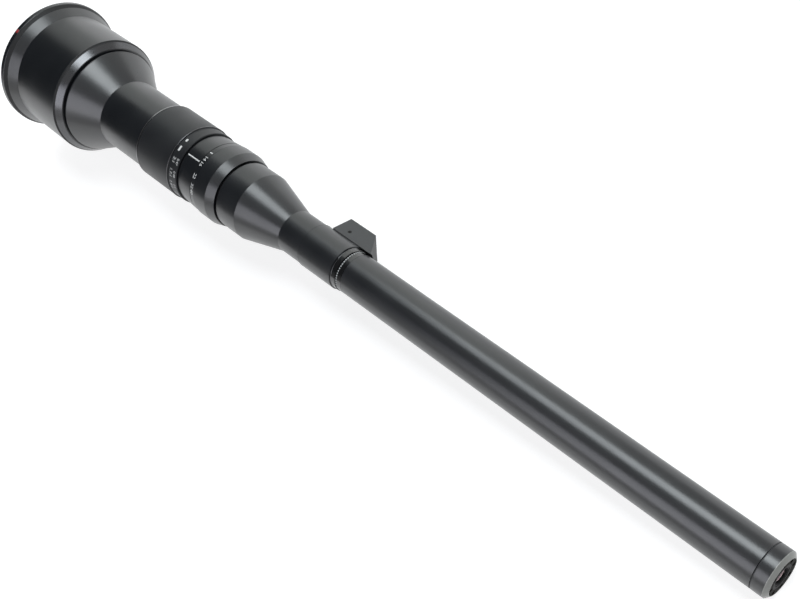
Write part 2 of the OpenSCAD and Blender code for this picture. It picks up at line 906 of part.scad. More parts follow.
module iris_base() {
    color([0.15, 0.15, 0.15])
        difference() {
            turned([
                [x_iris, iris_open_r + floor_bore_room],
                [x_iris, iris_r],
                [x_cover + cover_t, iris_r],
                [x_cover + cover_t, iris_r - iris_wall_t],
                [x_iris + iris_floor_t, iris_r - iris_wall_t],
                [x_iris + iris_floor_t, iris_open_r + floor_bore_room]
            ]);
            in_iris_plane(x_iris - cut)
                for (i = [0:blade_count - 1])
                    rotate([0, 0, blade_angle(i)])
                        translate([pivot_r, 0, 0])
                            cylinder(r = pivot_d / 2 + fit, h = iris_floor_t + 2 * cut);
            stop_key_slot(iris_r + cut, cam_r - cut);
        }
}

module iris_cover() {
    color([0.15, 0.15, 0.15])
        ring(x_cover, x_cover + cover_t, cam_r, cam_r - cover_w);
}

// Cam ring with one spiral slot for each blade, cut by the path of the drive pins
module iris_cam_ring() {
    color([0.45, 0.36, 0.18])
        difference() {
            ring(x_cam, x_cam_end, cam_r, iris_open_r + cam_bore_room);
            in_iris_plane(x_cam - cut)
                for (i = [0:blade_count - 1])
                    rotate([0, 0, blade_angle(i)])
                        cam_slot();
            radial_pin(x_stop_key, stop_key_angle, stop_key_inner_r, cam_r + cut,
                stop_key_r + fit);
        }
}

// Outline of one spiral slot, as seen by the turning cam ring
module cam_slot() {
    half = drive_d / 2 + drive_slack;
    path = [for (i = [0:slot_steps])
        let (
            turn = stop_open_turn + slot_margin - i * (stop_turn + 2 * slot_margin) / slot_steps,
            p = drive_point(blade_ratio * (stop_open_turn - turn))
        )
        [norm(p), atan2(p[1], p[0]) - turn]
    ];
    outer = [for (p = path) (p[0] + half) * [cos(p[1]), sin(p[1])]];
    inner = [for (i = [slot_steps:-1:0]) (path[i][0] - half) * [cos(path[i][1]), sin(path[i][1])]];
    linear_extrude(height = cam_t + 2 * cut)
        polygon(concat(outer, inner));
    for (p = [path[0], path[slot_steps]])
        rotate([0, 0, p[1]])
            translate([p[0], 0, 0])
                cylinder(r = half, h = cam_t + 2 * cut);
}

// Blade number i, in its own layer, with its pivot pin to the rear and its drive pin to the front
module iris_blade(i) {
    drive = drive_point(0);
    layer = i * blade_pitch;
    pin_depth = layer + face_gap + pin_foot;
    color([0.2, 0.2, 0.22])
        in_iris_plane(x_blade + layer)
            rotate([0, 0, blade_angle(i)])
                translate([pivot_r, 0, 0])
                    rotate([0, 0, blade_rest])
                        translate([-pivot_r, 0, 0]) {
                            blade_plate();
                            translate([pivot_r, 0, -pin_depth])
                                cylinder(r = pivot_d / 2, h = pin_depth + blade_t);
                            translate([drive[0], drive[1], 0])
                                cylinder(r = drive_d / 2, h = x_cam_end - x_blade - layer - pin_short);
                        }
}

// Flat blade at full aperture: an arc, a tab at the pivot and an arm to the drive pin
module blade_plate() {
    drive = drive_point(0);
    middle_r = (iris_open_r + blade_arc_r) / 2;
    rotate([0, 0, -blade_root])
        rotate_extrude(angle = blade_arc_span + blade_root)
            translate([iris_open_r, 0])
                square([blade_w, blade_t]);
    rotate([0, 0, blade_arc_span])
        translate([middle_r, 0, 0])
            cylinder(r = blade_w / 2, h = blade_t);
    translate([pivot_r, 0, 0])
        cylinder(r = blade_tab_r, h = blade_t);
    translate([drive[0], drive[1], 0])
        cylinder(r = drive_d / 2 + drive_pad, h = blade_t);
    translate([pivot_r, 0, 0])
        rotate([0, 0, drive_rake])
            translate([0, -blade_bar_w / 2, 0])
                cube([drive_arm, blade_bar_w, blade_t]);
}

module stop_cell() {
    x_end = x_stop_cell + stop_cell_len;
    color([0.14, 0.14, 0.14])
        turned([
            [x_stop_cell, stop_lens_r - stop_seat],
            [x_stop_cell, sleeve_bore_r - fit],
            [x_end, sleeve_bore_r - fit],
            [x_end, stop_lens_r + fit],
            [x_stop_cell + stop_seat_len, stop_lens_r + fit],
            [x_stop_cell + stop_seat_len, stop_lens_r - stop_seat]
        ]);
}

module stop_lens() {
    color([0.6, 0.75, 0.8, 0.4]) {
        lens(x_stop_cell + stop_seat_len, stop_lens_r, 2.2, 0, 1);
        lens(x_stop_cell + stop_second_lens, stop_lens_r, 2.2, 0.9, 0.6);
    }
}

// Front barrel and probe

module front_barrel() {
    color([0.1, 0.1, 0.1])
        turned([
            [x_front, nose_r + fit],
            [x_front, front_r - edge],
            [x_front + edge, front_r],
            [x_front_cone, front_r],
            [x_front_neck, front_neck_r],
            [x_collar, front_neck_r],
            [x_collar, tube_tail_r + fit],
            [x_front_neck, tube_tail_r + fit],
            [x_front_cone, nose_r - front_bore_drop],
            [x_front_cone - front_bore_bevel, nose_r + fit]
        ]);
}

module collar() {
    color([0.1, 0.1, 0.1])
        difference() {
            turned([
                [x_collar, tube_tail_r + fit],
                [x_collar, collar_r - edge],
                [x_collar + edge, collar_r],
                [x_lock - edge, collar_r],
                [x_lock, collar_r - edge],
                [x_lock, tube_tail_r + fit]
            ]);
            radial_pin(x_wire_exit, box_angle, tube_tail_r - cut, collar_r + cut, boss_r + fit);
        }
}

module lock_ring() {
    x_end = x_tube - face_gap;
    color([0.06, 0.06, 0.06])
        turned([
            [x_lock, tube_tail_r + fit],
            [x_lock, lock_ring_r],
            [x_end - edge, lock_ring_r],
            [x_end, lock_ring_r - edge],
            [x_end, tube_tail_r + fit]
        ]);
}

module probe_tube() {
    x_thread_end = x_thread - face_gap;
    color([0.1, 0.1, 0.1])
        difference() {
            turned([
                [x_front_neck, tube_bore_r],
                [x_front_neck, tube_tail_r],
                [x_tube, tube_tail_r],
                [x_tube, tube_r - edge],
                [x_tube + edge, tube_r],
                [x_tip - edge / 2, tube_r],
                [x_tip, tube_r - edge / 2],
                [x_tip, tip_thread_r],
                [x_thread_end, tip_thread_r],
                [x_thread_end, tube_bore_r]
            ]);
            radial_pin(x_wire_exit, box_angle, tube_bore_r - cut, tube_tail_r + cut, boss_bore_r);
        }
}

module inner_tube() {
    color([0.25, 0.25, 0.25])
        ring(x_front_neck + inner_tube_inset, x_front_cell - face_gap, inner_tube_r,
            inner_tube_r - inner_tube_wall);
}

// Rings that hold the inner tube in the middle, each with a notch for the wires
module tube_spacers() {
    first = x_front_neck + spacer_lead;
    last = x_front_cell - spacer_tail;
    color([0.3, 0.3, 0.3])
        for (i = [0:spacer_count - 1]) {
            x = first + i * (last - first) / (spacer_count - 1);
            difference() {
                ring(x, x + spacer_len, tube_bore_r - fit, inner_tube_r + fit);
                at_angle(box_angle)
                    translate([x - cut, -notch_w / 2, inner_tube_r - cut])
                        cube([spacer_len + 2 * cut, notch_w, inner_tube_gap + 2 * cut]);
            }
        }
}

// Relay groups inside the inner tube, two lenses in each
module relay_lenses() {
    first = x_front_neck + relay_lead;
    last = x_front_cell - relay_tail;
    color([0.6, 0.75, 0.8, 0.4])
        for (i = [0:relay_count - 1]) {
            x = first + i * (last - first) / (relay_count - 1);
            lens(x, relay_r, relay_edge_t, relay_sag, relay_sag);
            lens(x + relay_gap, relay_r, relay_edge_t, relay_sag, relay_sag);
        }
}

// Tip

module tip_seal() {
    color([0.03, 0.03, 0.03])
        rotate([0, 90, 0])
            rotate_extrude()
                translate([tip_thread_r + seal_w / 2 - seal_sink, x_tip + seal_w / 2])
                    circle(r = seal_w / 2 - fit, $fn = 32);
}

module tip_ring() {
    color([0.1, 0.1, 0.1])
        turned([
            [x_tip_ring, tip_thread_r + fit],
            [x_tip_ring, tube_r - edge / 2],
            [x_tip_ring + edge / 2, tube_r],
            [x_bezel, tube_r],
            [x_bezel, tip_bore_r],
            [x_thread, tip_bore_r],
            [x_thread, tip_thread_r + fit]
        ]);
}

module tip_bezel() {
    color([0.75, 0.76, 0.76])
        turned([
            [x_bezel, bezel_bore_r],
            [x_bezel, tube_r],
            [x_bezel + bezel_edge, tube_r],
            [x_tip_end, bezel_bore_r + bezel_rim_t],
            [x_tip_end, bezel_bore_r]
        ]);
}

module led_board() {
    color("darkgreen")
        ring(x_board, x_board + board_t, tip_bore_r - fit, front_cell_r + fit);
}

module led_chips() {
    color([0.85, 0.9, 1])
        for (i = [0:led_count - 1])
            at_angle((i + 0.5) * 360 / led_count)
                translate([x_board + board_t, -chip_w / 2, led_circle_r - chip_w / 2])
                    cube([chip_t, chip_w, chip_w]);
}

// Dark cover plate in front of the lamps, with one round window for each
module led_mask() {
    color([0.04, 0.04, 0.04])
        difference() {
            ring(x_mask, x_mask_end, bezel_bore_r - fit, front_cell_r + fit);
            for (i = [0:led_count - 1])
                at_angle((i + 0.5) * 360 / led_count)
                    translate([0, 0, led_circle_r])
                        rod(x_mask - cut, x_mask_end + cut, mask_hole_r);
        }
}

module front_cell() {
    color([0.05, 0.05, 0.05])
        turned([
            [x_front_cell, front_lens_r - front_seat],
            [x_front_cell, inner_tube_r],
            [x_tip - front_cell_cone, inner_tube_r],
            [x_tip, front_cell_r],
            [x_front_cell_end, front_cell_r],
            [x_front_cell_end, front_lens_r + fit],
            [x_front_lens, front_lens_r + fit],
            [x_front_lens, front_lens_r - front_seat]
        ]);
}

module front_lens() {
    color([0.5, 0.65, 0.75, 0.4])
        lens(x_front_lens, front_lens_r, front_edge_t, 0, front_sag);
}

// Threaded ring that holds the front lens in its cell
module front_retainer() {
    x0 = x_front_lens + front_edge_t;
    x1 = x_front_cell_end - front_retainer_inset;
    inner_r = front_lens_r - front_retainer_w;
    color([0.05, 0.05, 0.05])
        turned([
            [x0 + fit, front_lens_r],
            [x1, front_lens_r],
            [x1, inner_r + edge],
            [x0 + front_sag * 0.65, inner_r],
            [x0 + front_sag * 0.5, inner_r]
        ]);
}

// Two wires from the lamp board back along the tube and out into the power box
module led_wires() {
    color([0.6, 0.1, 0.1])
        at_angle(box_angle)
            for (side = [-1, 1]) {
                translate([0, side * wire_side, wire_run_r])
                    rod(x_wire_exit, x_board, wire_r);
                translate([x_wire_exit, side * wire_side, wire_run_r]) {
                    sphere(r = wire_r, $fn = 32);
                    cylinder(r = wire_r, h = board_bottom - wire_run_r);
                }
            }
}

// Power box

// Places of the box's rear and front faces at a distance h from the axis
function rear_face_x(h) = x_box + box_rear_rate * (h - box_base);
function front_face_x(h) = x_box + box_len - box_front_rate * (h - box_base);

// Side outline of the power box, as [x, distance from the axis], inset by a wall
function box_outline(inset, base) = let (
        top = box_top - inset,
        front_inset = inset * norm([1, box_front_rate])
    ) [
        [rear_face_x(base) + inset, base],
        [rear_face_x(top - box_edge) + inset, top - box_edge],
        [rear_face_x(top) + inset + box_edge, top],
        [front_face_x(top) - front_inset - box_edge / 2, top],
        [front_face_x(top - box_edge) - front_inset, top - box_edge],
        [front_face_x(base) - front_inset, base]
    ];

// A slab with the box's outline between two places across its width
module box_slab(inset, base, w0, w1) {
    at_angle(box_angle)
        translate([0, w1, 0])
            rotate([90, 0, 0])
                linear_extrude(height = w1 - w0)
                    polygon(box_outline(inset, base));
}

// The box's outer form between two places across its width, its outer long edges chamfered
module box_shell(w0, w1) {
    half = box_w / 2;
    intersection() {
        box_slab(0, box_base, w0, w1);
        at_angle(box_angle)
            translate([x_box - cut, 0, 0])
                rotate([90, 0, 90])
                    linear_extrude(height = box_len + 2 * cut)
                        polygon([
                            [-half, box_base - cut],
                            [-half, box_top - box_edge],
                            [-half + box_edge, box_top],
                            [half - box_edge, box_top],
                            [half, box_top - box_edge],
                            [half, box_base - cut]
                        ]);
    }
}

// A cylinder across the box on the line of the cover screw, from w0 to w1
module cross_pin(w0, w1, r) {
    at_angle(box_angle)
        translate([x_cover_screw, w0, cover_screw_h])
            rotate([-90, 0, 0])
                cylinder(r = r, h = w1 - w0);
}

module power_housing() {
    screw_end = -box_w / 2 + cover_screw_len;
    color([0.1, 0.1, 0.1])
        difference() {
            union() {
                difference() {
                    box_shell(-box_w / 2 + box_wall, box_w / 2);
                    rod(x_box - cut, x_box + box_len + cut, box_saddle_r);
                    box_slab(box_wall, box_floor, -box_w, box_w / 2 - box_wall);
                }
                radial_pin(x_wire_exit, box_angle, tube_tail_r + boss_foot, box_floor, boss_r);
                cross_pin(-box_w / 2 + box_wall, screw_end + 0.5, cover_boss_r);
            }
            radial_pin(x_wire_exit, box_angle, tube_tail_r - cut, box_floor + cut, boss_bore_r);
            at_angle(box_angle)
                translate([x_box - cut, -socket_w / 2 - fit, socket_bottom - fit])
                    cube([box_wall + box_rear_slope + 2 * cut, socket_w + 2 * fit, socket_h + 2 * fit]);
            cross_pin(-box_w, screw_end + 0.2, cover_screw_r + fit);
        }
}

module power_cover() {
    color([0.1, 0.1, 0.1])
        difference() {
            box_shell(-box_w / 2, -box_w / 2 + box_wall - fit);
            rod(x_box - cut, x_box + box_len + cut, box_saddle_r);
            cross_pin(-box_w, 0, cover_screw_r + fit);
            cross_pin(-box_w, -box_w / 2 + cover_head_t + cover_head_sink, cover_head_r + fit);
        }
}

module power_board() {
    color("darkgreen")
        at_angle(box_angle)
            translate([
                x_box + box_rear_slope + box_wall,
                -box_w / 2 + box_wall + board_side_gap,
                board_bottom
            ])
                cube([power_board_len, box_w - 2 * (box_wall + board_side_gap), power_board_t]);
}

// Metal shell of the socket with its tongue, open to the rear
module power_socket() {
    wall = socket_shell;
    color("silver")
        at_angle(box_angle)
            translate([x_box + box_rear_slope, -socket_w / 2, socket_bottom]) {
                difference() {
                    cube([socket_len, socket_w, socket_h]);
                    translate([-cut, wall, wall])
                        cube([socket_len + cut - wall, socket_w - 2 * wall, socket_h - 2 * wall]);
                }
                translate([tongue_setback, tongue_side, (socket_h - tongue_t) / 2])
                    cube([socket_len - tongue_setback - wall / 2, socket_w - 2 * tongue_side, tongue_t]);
            }
}

module power_screw() {
    face = -box_w / 2;
    color([0.2, 0.2, 0.2])
        difference() {
            union() {
                cross_pin(face + cover_head_sink, face + cover_head_t + cover_head_sink, cover_head_r);
                cross_pin(face + cover_head_t / 2, face + cover_screw_len, cover_screw_r);
            }
            cross_pin(face - cut, face + cover_drive_depth, cover_drive_r);
        }
}

bayonet_mount();
mount_screws();
mount_ring();
index_dot();
rear_barrel();
rear_cone();
rear_cell();
rear_lenses();
rear_retainer();
trim_ring();
main_barrel();
focus_retainer();
index_ring();
iris_base();
iris_cover();
stop_cell();
stop_lens();
front_barrel();
collar();
lock_ring();
probe_tube();
inner_tube();
tube_spacers();
relay_lenses();
tip_seal();
tip_ring();
tip_bezel();
led_board();
led_chips();
led_mask();
front_cell();
front_lens();
front_retainer();
led_wires();
power_housing();
power_cover();
power_board();
power_socket();
power_screw();
focus_ring();
focus_cell();
focus_lenses();
focus_key();
aperture_ring();
iris_cam_ring();
aperture_key();
iris_blade(0);  // iris_blade_1
iris_blade(1);  // iris_blade_2
iris_blade(2);  // iris_blade_3
iris_blade(3);  // iris_blade_4
iris_blade(4);  // iris_blade_5
iris_blade(5);  // iris_blade_6
iris_blade(6);  // iris_blade_7
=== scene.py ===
"""Looks of a probe macro lens: finishes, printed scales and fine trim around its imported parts."""
import logging
import math
from dataclasses import dataclass
from enum import Enum
from functools import cached_property
from typing import Any, ClassVar, Iterable, Sequence

import bmesh
import bpy
from mathutils import Euler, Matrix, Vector
from mathutils.bvhtree import BVHTree


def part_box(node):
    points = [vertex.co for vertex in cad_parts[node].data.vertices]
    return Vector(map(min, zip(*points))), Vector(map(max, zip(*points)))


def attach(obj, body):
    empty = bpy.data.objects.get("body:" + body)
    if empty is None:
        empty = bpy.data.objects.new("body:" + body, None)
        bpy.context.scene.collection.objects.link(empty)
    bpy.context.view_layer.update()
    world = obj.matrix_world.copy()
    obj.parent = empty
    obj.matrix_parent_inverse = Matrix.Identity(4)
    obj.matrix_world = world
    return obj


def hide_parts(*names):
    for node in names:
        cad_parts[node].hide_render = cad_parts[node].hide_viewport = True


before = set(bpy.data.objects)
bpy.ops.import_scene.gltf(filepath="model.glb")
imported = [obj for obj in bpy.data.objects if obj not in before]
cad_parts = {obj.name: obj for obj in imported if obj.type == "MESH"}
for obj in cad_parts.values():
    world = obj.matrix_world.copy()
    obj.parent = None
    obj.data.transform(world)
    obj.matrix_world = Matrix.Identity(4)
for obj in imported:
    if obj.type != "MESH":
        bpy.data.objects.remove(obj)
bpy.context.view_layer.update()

LOG = logging.getLogger("lens_looks")
MM = 0.001
MERGE_REACH = 1e-7
BEAD_WIDTH = 0.34 * MM
IRIS_BLADES = 7
Colour = tuple[float, float, float]


class Body(Enum):
    """The moving bodies that a piece can ride on."""

    BARREL = "barrel"
    FOCUS = "focus_ring"
    APERTURE = "aperture_ring"


class Slot(Enum):
    """The record's material slots; no piece of this script takes its finish from them."""

    MATTE_BLACK = "matte_black"
    GLASS = "optical_glass"
    LAMP = "lamp_white"


class Wire:
    """An output socket whose arithmetic adds Math nodes to its tree."""

    def __init__(self, graph: "Graph", socket: bpy.types.NodeSocket | None) -> None:
        """Keeps the socket with the graph that it belongs to."""
        self.graph = graph
        self.socket = socket

    def calc(self, operation: str, *values: Any) -> "Wire":
        """Adds one Math node whose sockets take the values in order."""
        return self.graph.add("ShaderNodeMath", {"operation": operation}, dict(enumerate(values)))

    def __add__(self, other: Any) -> "Wire":
        """Sum."""
        return self.calc("ADD", self, other)

    def __radd__(self, other: Any) -> "Wire":
        """Sum with the wire on the right."""
        return self.calc("ADD", other, self)

    def __sub__(self, other: Any) -> "Wire":
        """Difference."""
        return self.calc("SUBTRACT", self, other)

    def __rsub__(self, other: Any) -> "Wire":
        """Difference with the wire on the right."""
        return self.calc("SUBTRACT", other, self)

    def __mul__(self, other: Any) -> "Wire":
        """Product."""
        return self.calc("MULTIPLY", self, other)

    def __rmul__(self, other: Any) -> "Wire":
        """Product with the wire on the right."""
        return self.calc("MULTIPLY", other, self)

    def __truediv__(self, other: Any) -> "Wire":
        """Quotient."""
        return self.calc("DIVIDE", self, other)

    def __rtruediv__(self, other: Any) -> "Wire":
        """Quotient with the wire on the right."""
        return self.calc("DIVIDE", other, self)

    def __pow__(self, other: Any) -> "Wire":
        """Power."""
        return self.calc("POWER", self, other)

    def __rpow__(self, other: Any) -> "Wire":
        """Power with the wire on the right."""
        return self.calc("POWER", other, self)

    def clamp(self) -> "Wire":
        """The wire held between zero and one."""
        return self.graph.add("ShaderNodeClamp", {}, {"Value": self})


class Graph:
    """A node tree that grows by one method, for materials, the world and Geometry Nodes alike."""

    def __init__(self, tree: bpy.types.NodeTree) -> None:
        """Keeps the tree."""
        self.tree = tree

    def add(self, kind: str, settings: dict[str, Any] | None = None,
            inputs: dict[Any, Any] | None = None, output: Any = 0) -> Wire:
        """Adds a node, sets it up and feeds its sockets.

        Args:
            kind: The node's type.
            settings: Attributes of the node, which are set first.
            inputs: Values or wires by socket name or index.
            output: Name or index of the output to return.

        Returns:
            The chosen output, or an empty wire from a node that has none.
        """
        node = self.tree.nodes.new(kind)
        for name, value in (settings or {}).items():
            setattr(node, name, value)
        for key, value in (inputs or {}).items():
            if isinstance(value, Wire):
                self.tree.links.new(value.socket, node.inputs[key])
            else:
                node.inputs[key].default_value = value
        return Wire(self, node.outputs[output] if len(node.outputs) else None)

    def place(self) -> Wire:
        """Object coordinates of the shaded point."""
        return self.add("ShaderNodeTexCoord", output="Object")

    def split(self, vector: Wire) -> tuple[Wire, ...]:
        """The three parts of a vector."""
        first = self.add("ShaderNodeSeparateXYZ", {}, {0: vector})
        return tuple(Wire(self, output) for output in first.socket.node.outputs)

    def noise(self, size: float, detail: float = 2.0) -> Wire:
        """Noise from 0 to 1 on Object coordinates, with spots of a size in metres."""
        inputs = {"Vector": self.place(), "Scale": 1 / size, "Detail": detail}
        return self.add("ShaderNodeTexNoise", {}, inputs)

    def lines(self, along: Wire, pitch: float, detail: float) -> Wire:
        """Noise that changes along one value alone, as turned lines do."""
        inputs = {"W": along, "Scale": 1 / pitch, "Detail": detail}
        return self.add("ShaderNodeTexNoise", {"noise_dimensions": "1D"}, inputs)

    def blend(self, share: Wire, first: Any, second: Any) -> Wire:
        """A colour between two colours."""
        return self.add("ShaderNodeMix", {"data_type": "RGBA"},
                        {0: share, 6: first, 7: second}, output=2)

    def mix(self, share: Wire, first: Wire, second: Wire) -> Wire:
        """A shader between two shaders."""
        return self.add("ShaderNodeMixShader", {}, {0: share, 1: first, 2: second})

    def bump(self, height: Wire, depth: float) -> Wire:
        """A normal from a height between 0 and 1 and its real depth in metres."""
        return self.add("ShaderNodeBump", {}, {"Height": height, "Distance": depth})


def rgba(colour: Colour, gain: float = 1.0) -> tuple[float, float, float, float]:
    """A colour with its brightness scaled, and full alpha."""
    return (*(min(1.0, part * gain) for part in colour), 1.0)


@dataclass(frozen=True)
class Finish:
    """A surface finish; each kind describes itself to a Principled shader."""

    name: str
    colour: Colour
    roughness: float

    def material(self) -> bpy.types.Material:
        """Builds the finish.

        Returns:
            The material, or the one built before under this name.
        """
        title = f"{self.name}_finish"
        known = bpy.data.materials.get(title)
        if known:
            return known
        made = bpy.data.materials.new(title)
        made.use_nodes = True
        made.node_tree.nodes.clear()
        graph = Graph(made.node_tree)
        shader = graph.add("ShaderNodeBsdfPrincipled", {}, self.shader_inputs(graph))
        graph.add("ShaderNodeOutputMaterial", {}, {"Surface": shader})
        made.diffuse_color = rgba(self.colour)
        return made

    def shader_inputs(self, graph: Graph) -> dict[str, Any]:
        """What feeds the Principled shader. Each kind of finish has its own."""
        raise NotImplementedError


@dataclass(frozen=True)
class GrainedFinish(Finish):
    """A finish with grain in its bump and mottling in its colour and roughness."""

    metallic: float = 0.0
    specular: float = 0.5
    grain: float = 0.25 * MM
    grain_depth: float = 0.006 * MM
    mottle: float = 5 * MM
    colour_spread: float = 0.12
    roughness_spread: float = 0.08

    def surface_inputs(self, graph: Graph, grain: Wire, mottle: Wire, shade: Wire,
                       height: Wire) -> dict[str, Any]:
        """What every grained finish feeds to its shader.

        Args:
            graph: The material's graph.
            grain: The grain, from 0 to 1.
            mottle: The mottling, from 0 to 1.
            shade: Where the colour is between its darker and its lighter form.
            height: The height of the bump, in grain depths.

        Returns:
            Values and wires by socket name.
        """
        low, high = (rgba(self.colour, 1 + sign * self.colour_spread) for sign in (-1, 1))
        wear = (mottle - 0.5) * (2 * self.roughness_spread) + (grain - 0.5) * self.roughness_spread
        return {
            "Base Color": graph.blend(shade, low, high),
            "Roughness": (wear + self.roughness).clamp(),
            "Metallic": self.metallic,
            "Specular IOR Level": self.specular,
            "Normal": graph.bump(height, self.grain_depth),
        }


@dataclass(frozen=True)
class TurnedFinish(GrainedFinish):
    """Metal turned on a lathe: fine rings about the optical axis, grain and a little mottling."""

    grain: float = 0.16 * MM
    grain_depth: float = 0.003 * MM
    mottle: float = 14 * MM
    colour_spread: float = 0.14
    roughness_spread: float = 0.10
    ring_pitch: float = 0.35 * MM
    ring_depth: float = 0.0012 * MM
    ring_slant: float = 0.7
    ring_share: float = 0.4

    def shader_inputs(self, graph: Graph) -> dict[str, Any]:
        """Rings that follow x on a barrel and the radius on a face.

        Args:
            graph: The material's graph.

        Returns:
            Values and wires by socket name.
        """
        x, y, z = graph.split(graph.place())
        radius = (y * y + z * z) ** 0.5
        rings = graph.lines(x + self.ring_slant * radius, self.ring_pitch, 3.0)
        grain = graph.noise(self.grain, 3.0)
        mottle = graph.noise(self.mottle, 4.0)
        height = rings * (self.ring_depth / self.grain_depth) + grain
        shade = (mottle * (1 - self.ring_share) + rings * self.ring_share).clamp()
        return self.surface_inputs(graph, grain, mottle, shade, height)


@dataclass(frozen=True)
class CastFinish(GrainedFinish):
    """Moulded, painted or coated stuff with an even grain in all directions."""

    coat: float = 0.0
    coat_roughness: float = 0.06

    def shader_inputs(self, graph: Graph) -> dict[str, Any]:
        """Even grain and mottling, under a clear coat where the finish has one.

        Args:
            graph: The material's graph.

        Returns:
            Values and wires by socket name.
        """
        grain = graph.noise(self.grain)
        mottle = graph.noise(self.mottle, 3.0)
        inputs = self.surface_inputs(graph, grain, mottle, mottle, grain)
        return inputs | {"Coat Weight": self.coat, "Coat Roughness": self.coat_roughness}


@dataclass(frozen=True)
class GlassFinish(Finish):
    """Coated optical glass with a thin film and a trace of dust."""

    index: float = 1.6
    film: float = 380.0
    film_index: float = 1.38
    tint: float = 0.93
    dust: float = 3 * MM
    dust_depth: float = 0.0002 * MM
    dust_start: float = 0.62
    haze: float = 0.25

    def shader_inputs(self, graph: Graph) -> dict[str, Any]:
        """Clear glass whose dust shows as a little roughness.

        Args:
            graph: The material's graph.

        Returns:
            Values and wires by socket name.
        """
        specks = graph.noise(self.dust, 6.0)
        haze = (specks - self.dust_start).clamp() * self.haze
        return {
            "Base Color": graph.blend(specks, rgba(self.colour), rgba(self.colour, self.tint)),
            "Roughness": (haze + self.roughness).clamp(),
            "IOR": self.index,
            "Transmission Weight": 1.0,
            "Thin Film Thickness": self.film,
            "Thin Film IOR": self.film_index,
            "Normal": graph.bump(specks, self.dust_depth),
        }


@dataclass(frozen=True)
class BoardFinish(Finish):
    """Circuit board: solder mask over faint square-cornered tracks."""

    track: float = 0.9 * MM
    track_gap: float = 0.08
    track_gain: float = 1.25
    gap_gain: float = 1.9
    grain: float = 0.3 * MM
    grain_depth: float = 0.01 * MM
    roughness_spread: float = 0.2

    def shader_inputs(self, graph: Graph) -> dict[str, Any]:
        """Tracks from a brick pattern, with grain in the roughness and the bump.

        Args:
            graph: The material's graph.

        Returns:
            Values and wires by socket name.
        """
        tracks = graph.add("ShaderNodeTexBrick", {"offset": 0.5}, {
            "Vector": graph.place(), "Scale": 1 / self.track, "Mortar Size": self.track_gap,
            "Color1": rgba(self.colour), "Color2": rgba(self.colour, self.track_gain),
            "Mortar": rgba(self.colour, self.gap_gain)})
        grain = graph.noise(self.grain)
        return {
            "Base Color": tracks,
            "Roughness": grain * self.roughness_spread + self.roughness,
            "Normal": graph.bump(grain, self.grain_depth),
        }


@dataclass(frozen=True)
class LampFinish(Finish):
    """A lamp's clear dome over its yellowish phosphor."""

    glow: float = 0.15
    mottle: float = 0.5 * MM
    warmth: Colour = (1.0, 0.93, 0.62)
    roughness_spread: float = 0.1
    coat_roughness: float = 0.05

    def shader_inputs(self, graph: Graph) -> dict[str, Any]:
        """A pale colour with a warm mottle and a weak glow of its own.

        Args:
            graph: The material's graph.

        Returns:
            Values and wires by socket name.
        """
        mottle = graph.noise(self.mottle)
        warm = tuple(part * share for part, share in zip(self.colour, self.warmth))
        shade = graph.blend(mottle, rgba(self.colour), rgba(warm))
        return {
            "Base Color": shade,
            "Roughness": mottle * self.roughness_spread + self.roughness,
            "Coat Weight": 1.0,
            "Coat Roughness": self.coat_roughness,
            "Emission Color": shade,
            "Emission Strength": self.glow,
        }


BLACK_ANODISED = TurnedFinish("black_anodised", (0.0052, 0.0064, 0.0082), 0.31, specular=0.9,
                              roughness_spread=0.06)
RING_BLACK = TurnedFinish("ring_black", (0.0058, 0.0068, 0.0084), 0.46, specular=0.6,
                          grain_depth=0.004 * MM)
MATTE_BLACK = TurnedFinish("matte_black", (0.010, 0.010, 0.0105), 0.62, specular=0.35,
                           ring_pitch=0.6 * MM, ring_depth=0.004 * MM)
GLOSS_BLACK = TurnedFinish("gloss_black", (0.0055, 0.0058, 0.0062), 0.17, specular=1.0,
                           grain_depth=0.001 * MM, roughness_spread=0.04)
CHROME = TurnedFinish("chrome_mount", (0.62, 0.62, 0.63), 0.20, metallic=1.0,
                      grain_depth=0.001 * MM, colour_spread=0.05, roughness_spread=0.05)
SCREW_STEEL = TurnedFinish("screw_steel", (0.56, 0.56, 0.57), 0.28, metallic=1.0,
                           ring_pitch=0.12 * MM, colour_spread=0.08)
BRIGHT_EDGE = TurnedFinish("bright_edge", (0.17, 0.17, 0.175), 0.30, metallic=1.0,
                           ring_pitch=0.1 * MM)
BRUSHED_EDGE = TurnedFinish("brushed_edge", (0.105, 0.106, 0.11), 0.25, metallic=1.0,
                            ring_pitch=0.3 * MM, ring_depth=0.004 * MM)
TRIM = TurnedFinish("trim_silver", (0.36, 0.36, 0.365), 0.30, metallic=1.0, ring_pitch=0.15 * MM)
BRASS = TurnedFinish("brass_key", (0.72, 0.52, 0.20), 0.34, metallic=1.0, ring_pitch=0.2 * MM)
BLADE_STEEL = CastFinish("iris_steel", (0.02, 0.02, 0.022), 0.48, metallic=0.3, grain=0.1 * MM,
                         grain_depth=0.001 * MM, mottle=2 * MM)
RED_ENAMEL = CastFinish("index_red", (0.24, 0.014, 0.016), 0.42, grain=0.3 * MM,
                        grain_depth=0.004 * MM, mottle=1 * MM, coat=0.2)
RUBBER = CastFinish("seal_rubber", (0.030, 0.030, 0.032), 0.6, grain=0.12 * MM, specular=0.4)
BEZEL = CastFinish("bezel_pale", (0.29, 0.29, 0.27), 0.38, grain=0.2 * MM, grain_depth=0.003 * MM,
                   mottle=2 * MM, coat=0.3)
BOX_PLASTIC = CastFinish("box_black", (0.054, 0.055, 0.056), 0.55, grain=0.3 * MM,
                         grain_depth=0.014 * MM, mottle=6 * MM)
SCREW_BLACK = CastFinish("screw_black", (0.014, 0.014, 0.014), 0.42, metallic=0.4,
                         grain=0.15 * MM, mottle=1 * MM)
